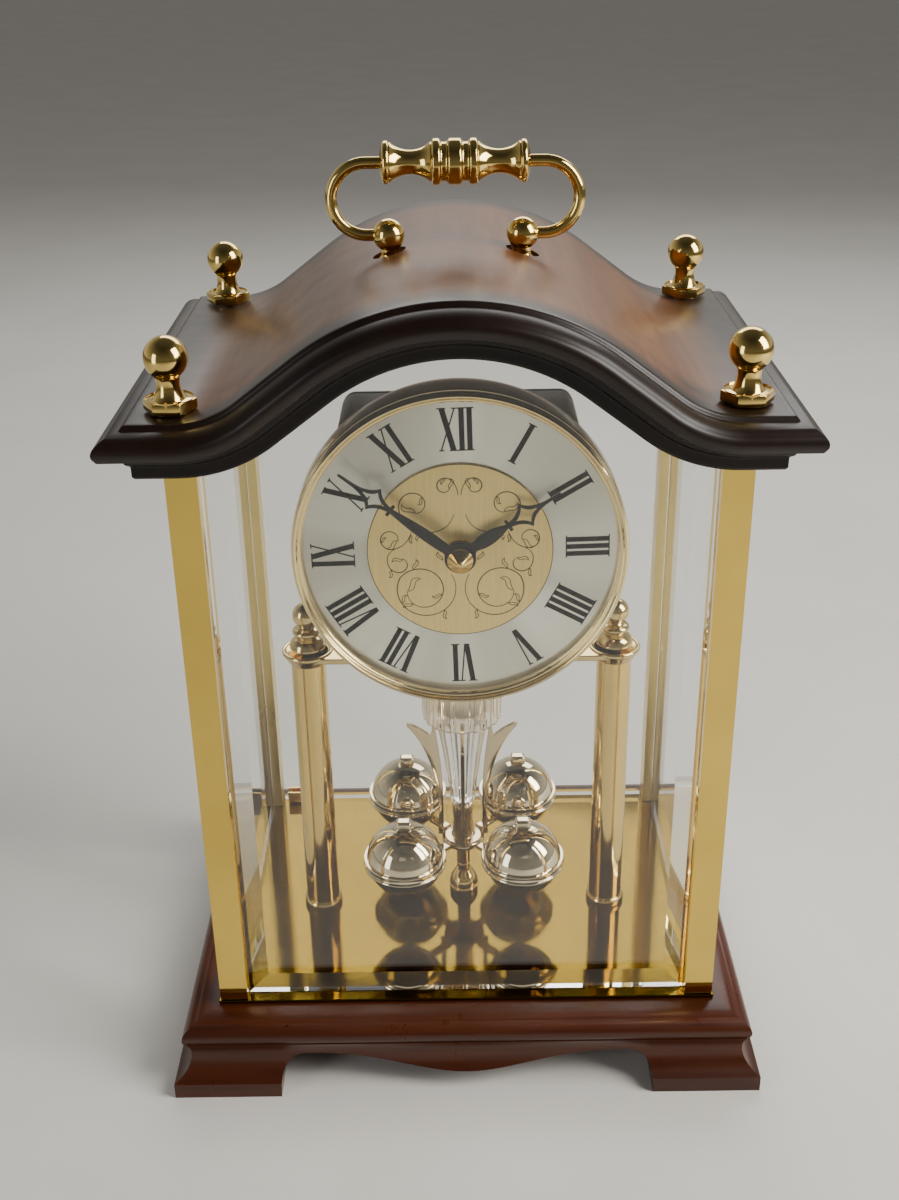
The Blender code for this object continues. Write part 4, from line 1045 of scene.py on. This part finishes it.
def make_cover_screws():
    low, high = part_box("movement_case")
    back = back_of("movement_cover")
    head = in_mm(soften([(0.0, 1.1), (1.4, 1.0), (2.4, 0.5), (2.5, 0.0), (0.0, 0.0)], 0.2))
    low_x, high_x = high.x - 5.0 * MM, high.x - 9.0 * MM
    low_z, high_z = low.z + 5.0 * MM, high.z - 9.0 * MM
    for i, (x, z) in enumerate(((-low_x, low_z), (low_x, low_z), (-high_x, high_z), (high_x, high_z)), start=1):
        screw = loose("cover_screw_%d" % i, revolved(head, 32), (x, back - 0.05 * MM, z), BACK)
        slots = [loose("slot", box_bm((0.5 * MM, 2.6 * MM, 0.8 * MM)), (x, back + 1.0 * MM, z),
                       (BACK[0], math.radians(a), 0.0)) for a in (25.0, 115.0)]
        settle(cut(screw, slots), "steel", slot="steel")


def make_set_knob():
    middle = centre_of("set_knob")
    cap = [(0.0, 7.2), (2.2, 7.2), (2.6, 6.9), (6.4, 7.0), (7.9, 6.2), (8.0, 0.4), (7.6, 0.0), (0.0, 0.0)]
    piece("set_knob_cap", revolved(in_mm(soften(cap, 0.4)), 120, flutes=40, depth=0.035), "knob",
          (middle.x, back_of("set_knob") - 7.2 * MM, middle.z), BACK, body="set_knob", slot="knob_plastic",
          replaces=["set_knob"])


# ---------------------------------------------------------------- pendulum

def make_housing():
    low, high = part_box("drive_housing")
    outer = 15.3 * MM
    wall = 1.3 * MM
    profile = [(outer, low.z), (outer, high.z), (4.0 * MM, high.z), (4.0 * MM, high.z - wall),
               (outer - wall, high.z - wall), (outer - wall, low.z)]
    profile = soften(profile, 0.4 * MM, closed=True)
    piece("drive_housing_sleeve", revolved(profile, 288, closed=True, flutes=18, depth=0.06), "tinted", AXIS,
          sharp=60.0, slot="clear_acrylic", replaces=["drive_housing"])


def vane_outline():
    """One horn-tipped strip beside the pendulum's clear stem, in millimetres; Y is height."""
    outer = bows((9.9, 57.2), ((9.2, 72.0), (10.1, 79.0), 10), ((11.8, 91.0), (16.6, 100.6), 12),
                 ((19.0, 105.0), (21.2, 107.2), 5), ((21.6, 108.4), (20.2, 108.4), 4),
                 ((16.0, 106.4), (13.4, 104.0), 7), ((11.9, 102.8), (11.6, 105.0), 4))
    inner = bows((10.3, 106.0), ((8.9, 96.0), (8.1, 86.0), 8), ((7.4, 74.0), (7.8, 57.2), 8))
    return outer + [(11.6, 111.5), (10.5, 111.5)] + inner


PLATED = {"body": "pendulum", "slot": "champagne_plate"}


def make_stem():
    """The clear fluted stem, its plated core and the four vanes round it."""
    high = top_of("pendulum_crown") / MM
    profile = [(0.0, high), (10.9, high), (10.9, 114.0)]
    profile += bows((10.6, 113.6), ((8.8, 104.0), (7.4, 95.0), 12), ((5.9, 84.0), (4.8, 74.0), 10))
    profile += [(0.0, 73.6)]
    piece("pendulum_stem", revolved(in_mm(profile), 280, flutes=14, depth=0.10), "acrylic", AXIS, sharp=50.0,
          body="pendulum", slot="clear_acrylic", replaces=["pendulum_crown", "suspension_hook"])
    core = [(0.0, 73.3), (2.4, 73.2), (4.2, 71.6), (3.8, 64.0), (4.4, 58.2), (0.0, 58.2)]
    piece("pendulum_core", revolved(in_mm(soften(core, 0.4)), 210, flutes=14, depth=0.12), "vane", AXIS,
          sharp=50.0, **PLATED)
    for i in range(4):
        turn = (math.radians(90.0), 0.0, math.radians(90.0 * i))
        plate("pendulum_vane_%d" % (i + 1), [in_mm(vane_outline())], 1.6 * MM, "vane", AXIS, turn,
              edge=0.35 * MM, replaces=["pendulum_vanes"] if i == 0 else (), **PLATED)


def make_hub():
    """The hub disc and its four arms to the balls."""
    top = top_of("pendulum_hub") / MM
    hub = [(0.0, top + 0.6), (4.0, top + 0.6), (4.6, top), (7.2, top), (8.2, top - 0.7), (8.5, top - 1.8),
           (7.8, top - 3.0), (3.6, top - 3.6), (0.0, top - 3.6)]
    lathe("pendulum_hub_disc", in_mm(soften(hub, 0.5)), 96, AXIS, "vane", replaces=["pendulum_hub"], **PLATED)
    reach = 13.4 * MM
    for i in range(4):
        angle = math.radians(45 + 90 * i)
        middle = AXIS + Vector((reach * math.cos(angle), reach * math.sin(angle), (top - 1.4) * MM))
        arm = piece("pendulum_arm_%d" % (i + 1), box_bm((9.2 * MM, 3.6 * MM, 1.6 * MM)), "vane", middle,
                    (0.0, 0.0, angle), **PLATED)
        round_edges(arm, 0.4 * MM, 3)


def make_balls():
    """Plated balls with two lips round the middle and a square peg on top."""
    radius = 14.8
    for i in range(4):
        node = "pendulum_ball_%d" % (i + 1)
        ring = half_size(node).x / MM
        upper = arc(0.0, 0.0, radius, 90, 7.0, 40)
        rim = [(ring - 0.25, 1.8), (ring, 1.3), (ring - 0.25, 0.8), (ring - 0.75, 0.6), (ring - 0.75, -0.9),
               (ring - 0.2, -1.2), (ring, -1.7), (ring - 0.3, -2.2), (14.3, -2.5)]
        profile = upper + soften(rim, 0.2) + arc(0.0, 0.0, 14.5, -10.5, -90, 36)
        middle = Vector(upright(node, bottom_of(node) + radius * MM))
        lathe(node + "_shell", in_mm(profile), 96, middle, "plated", replaces=[node], **PLATED)
        peg = piece(node + "_peg", box_bm((6.0 * MM, 4.6 * MM, 4.8 * MM)), "plated",
                    middle + Vector((0, 0, (radius + 0.5) * MM)), **PLATED)
        round_edges(peg, 1.1 * MM, 4)


def make_rod():
    """The rod under the balls, and the cup on the floor that guides it."""
    low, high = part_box("pendulum_rod")
    rod = [(0.0, high.z / MM), (2.65, high.z / MM), (2.65, 44.0), (2.4, 43.6), (2.65, 43.2), (2.65, 41.0),
           (0.9, 40.4), (0.9, low.z / MM), (0.0, low.z / MM)]
    lathe("pendulum_rod_turned", in_mm(soften(rod, 0.2)), 56, AXIS, body="pendulum", replaces=["pendulum_rod"])
    low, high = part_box("guide_cup")
    cup = [(1.6, high.z / MM), (2.6, high.z / MM)] + bow((3.1, 39.6), (5.4, 37.0), (5.7, 34.1), 12)
    cup += [(5.7, 33.7), (4.9, 33.2), (4.9, 32.8), (5.6, 32.4), (5.6, low.z / MM), (1.6, low.z / MM)]
    lathe("guide_cup_turned", in_mm(soften(cup, 0.15, closed=True)), 64, AXIS, closed=True,
          replaces=["guide_cup"])


# ---------------------------------------------------------------- door fittings and carried-over nodes

def make_door_knob():
    middle = centre_of("door_knob")
    profile = [(0.0, 10.0)] + arc(0.0, 6.8, 3.4, 84, -48, 18)
    profile += soften([(1.7, 3.9), (1.6, 3.0), (1.7, 1.9), (3.4, 1.3), (3.6, 0.9), (3.6, 0.3), (0.0, 0.3)], 0.25)
    lathe("door_knob_turned", in_mm(profile), 48, (middle.x, back_of("door_knob") - 10.0 * MM, middle.z),
          turn=BACK, body="door", replaces=["door_knob"])


def paint_nodes():
    """Give the carried-over nodes their finish, and a fine rounded edge where a real one has it."""
    # The floor plate gets the darkened brass, which is painted shade for its dim reflection.
    kept = {"base_board": "board", "floor_plate": "floor_brass_painted_dim_reflection", "battery": "cell", "circuit_board": "circuit",
            "hand_bush": "brass", "centre_wheel": "brass", "door_glass": "pane", "glass_front": "glass",
            "glass_left": "glass", "glass_right": "glass", "door_clip_lower": "brass",
            "door_clip_upper": "brass", "column_bolt_left": "steel", "column_bolt_right": "steel"}
    for corner in CORNERS:
        kept["post_" + corner] = "sheet_brass" if corner.startswith("front") else "satin_brass"
        kept["tie_bolt_" + corner] = "steel"
    for node, paint in kept.items():
        obj = NODES[node]
        obj.data.materials.clear()
        obj.data.materials.append(PAINTS[paint].material)
        if node.startswith("post_"):
            round_edges(obj, 0.35 * MM, 3).limit_method = "ANGLE"
            obj.data.shade_flat()


# ---------------------------------------------------------------- stage

def area_light(name, at, target, size, power, colour):
    data = bpy.data.lights.new(name, "AREA")
    data.shape = "RECTANGLE"
    data.size, data.size_y = size
    data.energy = power
    data.color = colour
    lamp = bpy.data.objects.new(name, data)
    lamp.location = at
    lamp.rotation_euler = (Vector(target) - Vector(at)).to_track_quat("-Z", "Y").to_euler()
    bpy.context.scene.collection.objects.link(lamp)


def make_stage():
    bm = bmesh.new()
    bmesh.ops.create_grid(bm, x_segments=2, y_segments=2, size=14.0)
    floor = loose("studio_floor", bm)
    paint = Paint("studio_floor", (0.72, 0.70, 0.655), 0.75)
    paint.colour(paint.ramp(paint.noise(9.0, 3.0), ((0.3, (0.70, 0.68, 0.635)), (0.7, (0.74, 0.72, 0.675)))))
    paint.bump(paint.noise(900.0, 2.0), 0.05 * MM, 0.4)
    floor.data.materials.append(paint.material)

    world = bpy.data.worlds.new("studio")
    world.use_nodes = True
    nodes, links = world.node_tree.nodes, world.node_tree.links
    sky = nodes["Background"]
    sky.inputs["Strength"].default_value = 1.25
    direction = nodes.new("ShaderNodeTexCoord")
    parts = nodes.new("ShaderNodeSeparateXYZ")
    fade = nodes.new("ShaderNodeValToRGB")
    room = nodes.new("ShaderNodeMapRange")
    dim = nodes.new("ShaderNodeVectorMath")
    dim.operation = "SCALE"
    for name, value in (("From Min", -0.75), ("From Max", 0.55), ("To Min", 0.28), ("To Max", 1.15)):
        room.inputs[name].default_value = value
    links.new(direction.outputs["Generated"], parts.inputs[0])
    links.new(parts.outputs[1], room.inputs["Value"])
    links.new(parts.outputs[2], fade.inputs["Fac"])
    links.new(fade.outputs["Color"], dim.inputs[0])
    links.new(room.outputs["Result"], dim.inputs["Scale"])
    links.new(dim.outputs[0], sky.inputs["Color"])
    fade.color_ramp.elements[0].position = 0.05
    fade.color_ramp.elements[0].color = (0.46, 0.44, 0.40, 1.0)
    fade.color_ramp.elements[1].position = 0.85
    fade.color_ramp.elements[1].color = (0.07, 0.07, 0.075, 1.0)
    bpy.context.scene.world = world
    middle = (0.0, 0.0, 0.16)
    area_light("key", (0.95, -0.35, 0.80), middle, (0.6, 0.9), 22.0, (1.0, 0.97, 0.92))
    area_light("fill", (-0.95, -0.75, 0.35), middle, (0.35, 0.8), 4.0, (0.94, 0.97, 1.0))
    area_light("rear", (0.15, 0.95, 0.95), middle, (1.2, 0.5), 8.0, (1.0, 0.99, 0.96))


# Solved from the photograph's perspective: yaw, pitch and roll in degrees, focal length in millimetres
CAMERA_ANGLES = (-0.245, 26.150, -0.931)
CAMERA_LENS = 42.89
CAMERA_AT = (-0.00196, -0.47410, 0.39293)


def make_camera():
    """Stands in front, above the clock, looking down at it."""
    yaw, pitch, roll = (math.radians(a) for a in CAMERA_ANGLES)
    ahead = Vector((math.sin(yaw) * math.cos(pitch), math.cos(yaw) * math.cos(pitch), -math.sin(pitch)))
    right = Vector((math.cos(yaw), -math.sin(yaw), 0.0))
    up = right.cross(ahead)
    across = right * math.cos(roll) + up * math.sin(roll)
    upward = up * math.cos(roll) - right * math.sin(roll)
    data = bpy.data.cameras.new("camera")
    data.lens = CAMERA_LENS
    data.sensor_width = 36.0
    camera = bpy.data.objects.new("camera", data)
    turn = Matrix((across, upward, -ahead)).transposed().to_4x4()
    camera.matrix_world = Matrix.Translation(CAMERA_AT) @ turn
    bpy.context.scene.collection.objects.link(camera)
    bpy.context.scene.camera = camera


make_roof()
make_finials()
make_handle_posts()
make_bail()
make_grip()
make_base()
make_columns()
make_bridge()
make_dial()
make_numerals()
make_scrollwork()
make_hands()
make_movement()
make_cover_screws()
make_set_knob()
make_housing()
make_stem()
make_hub()
make_balls()
make_rod()
make_door_knob()
paint_nodes()
make_stage()
make_camera()
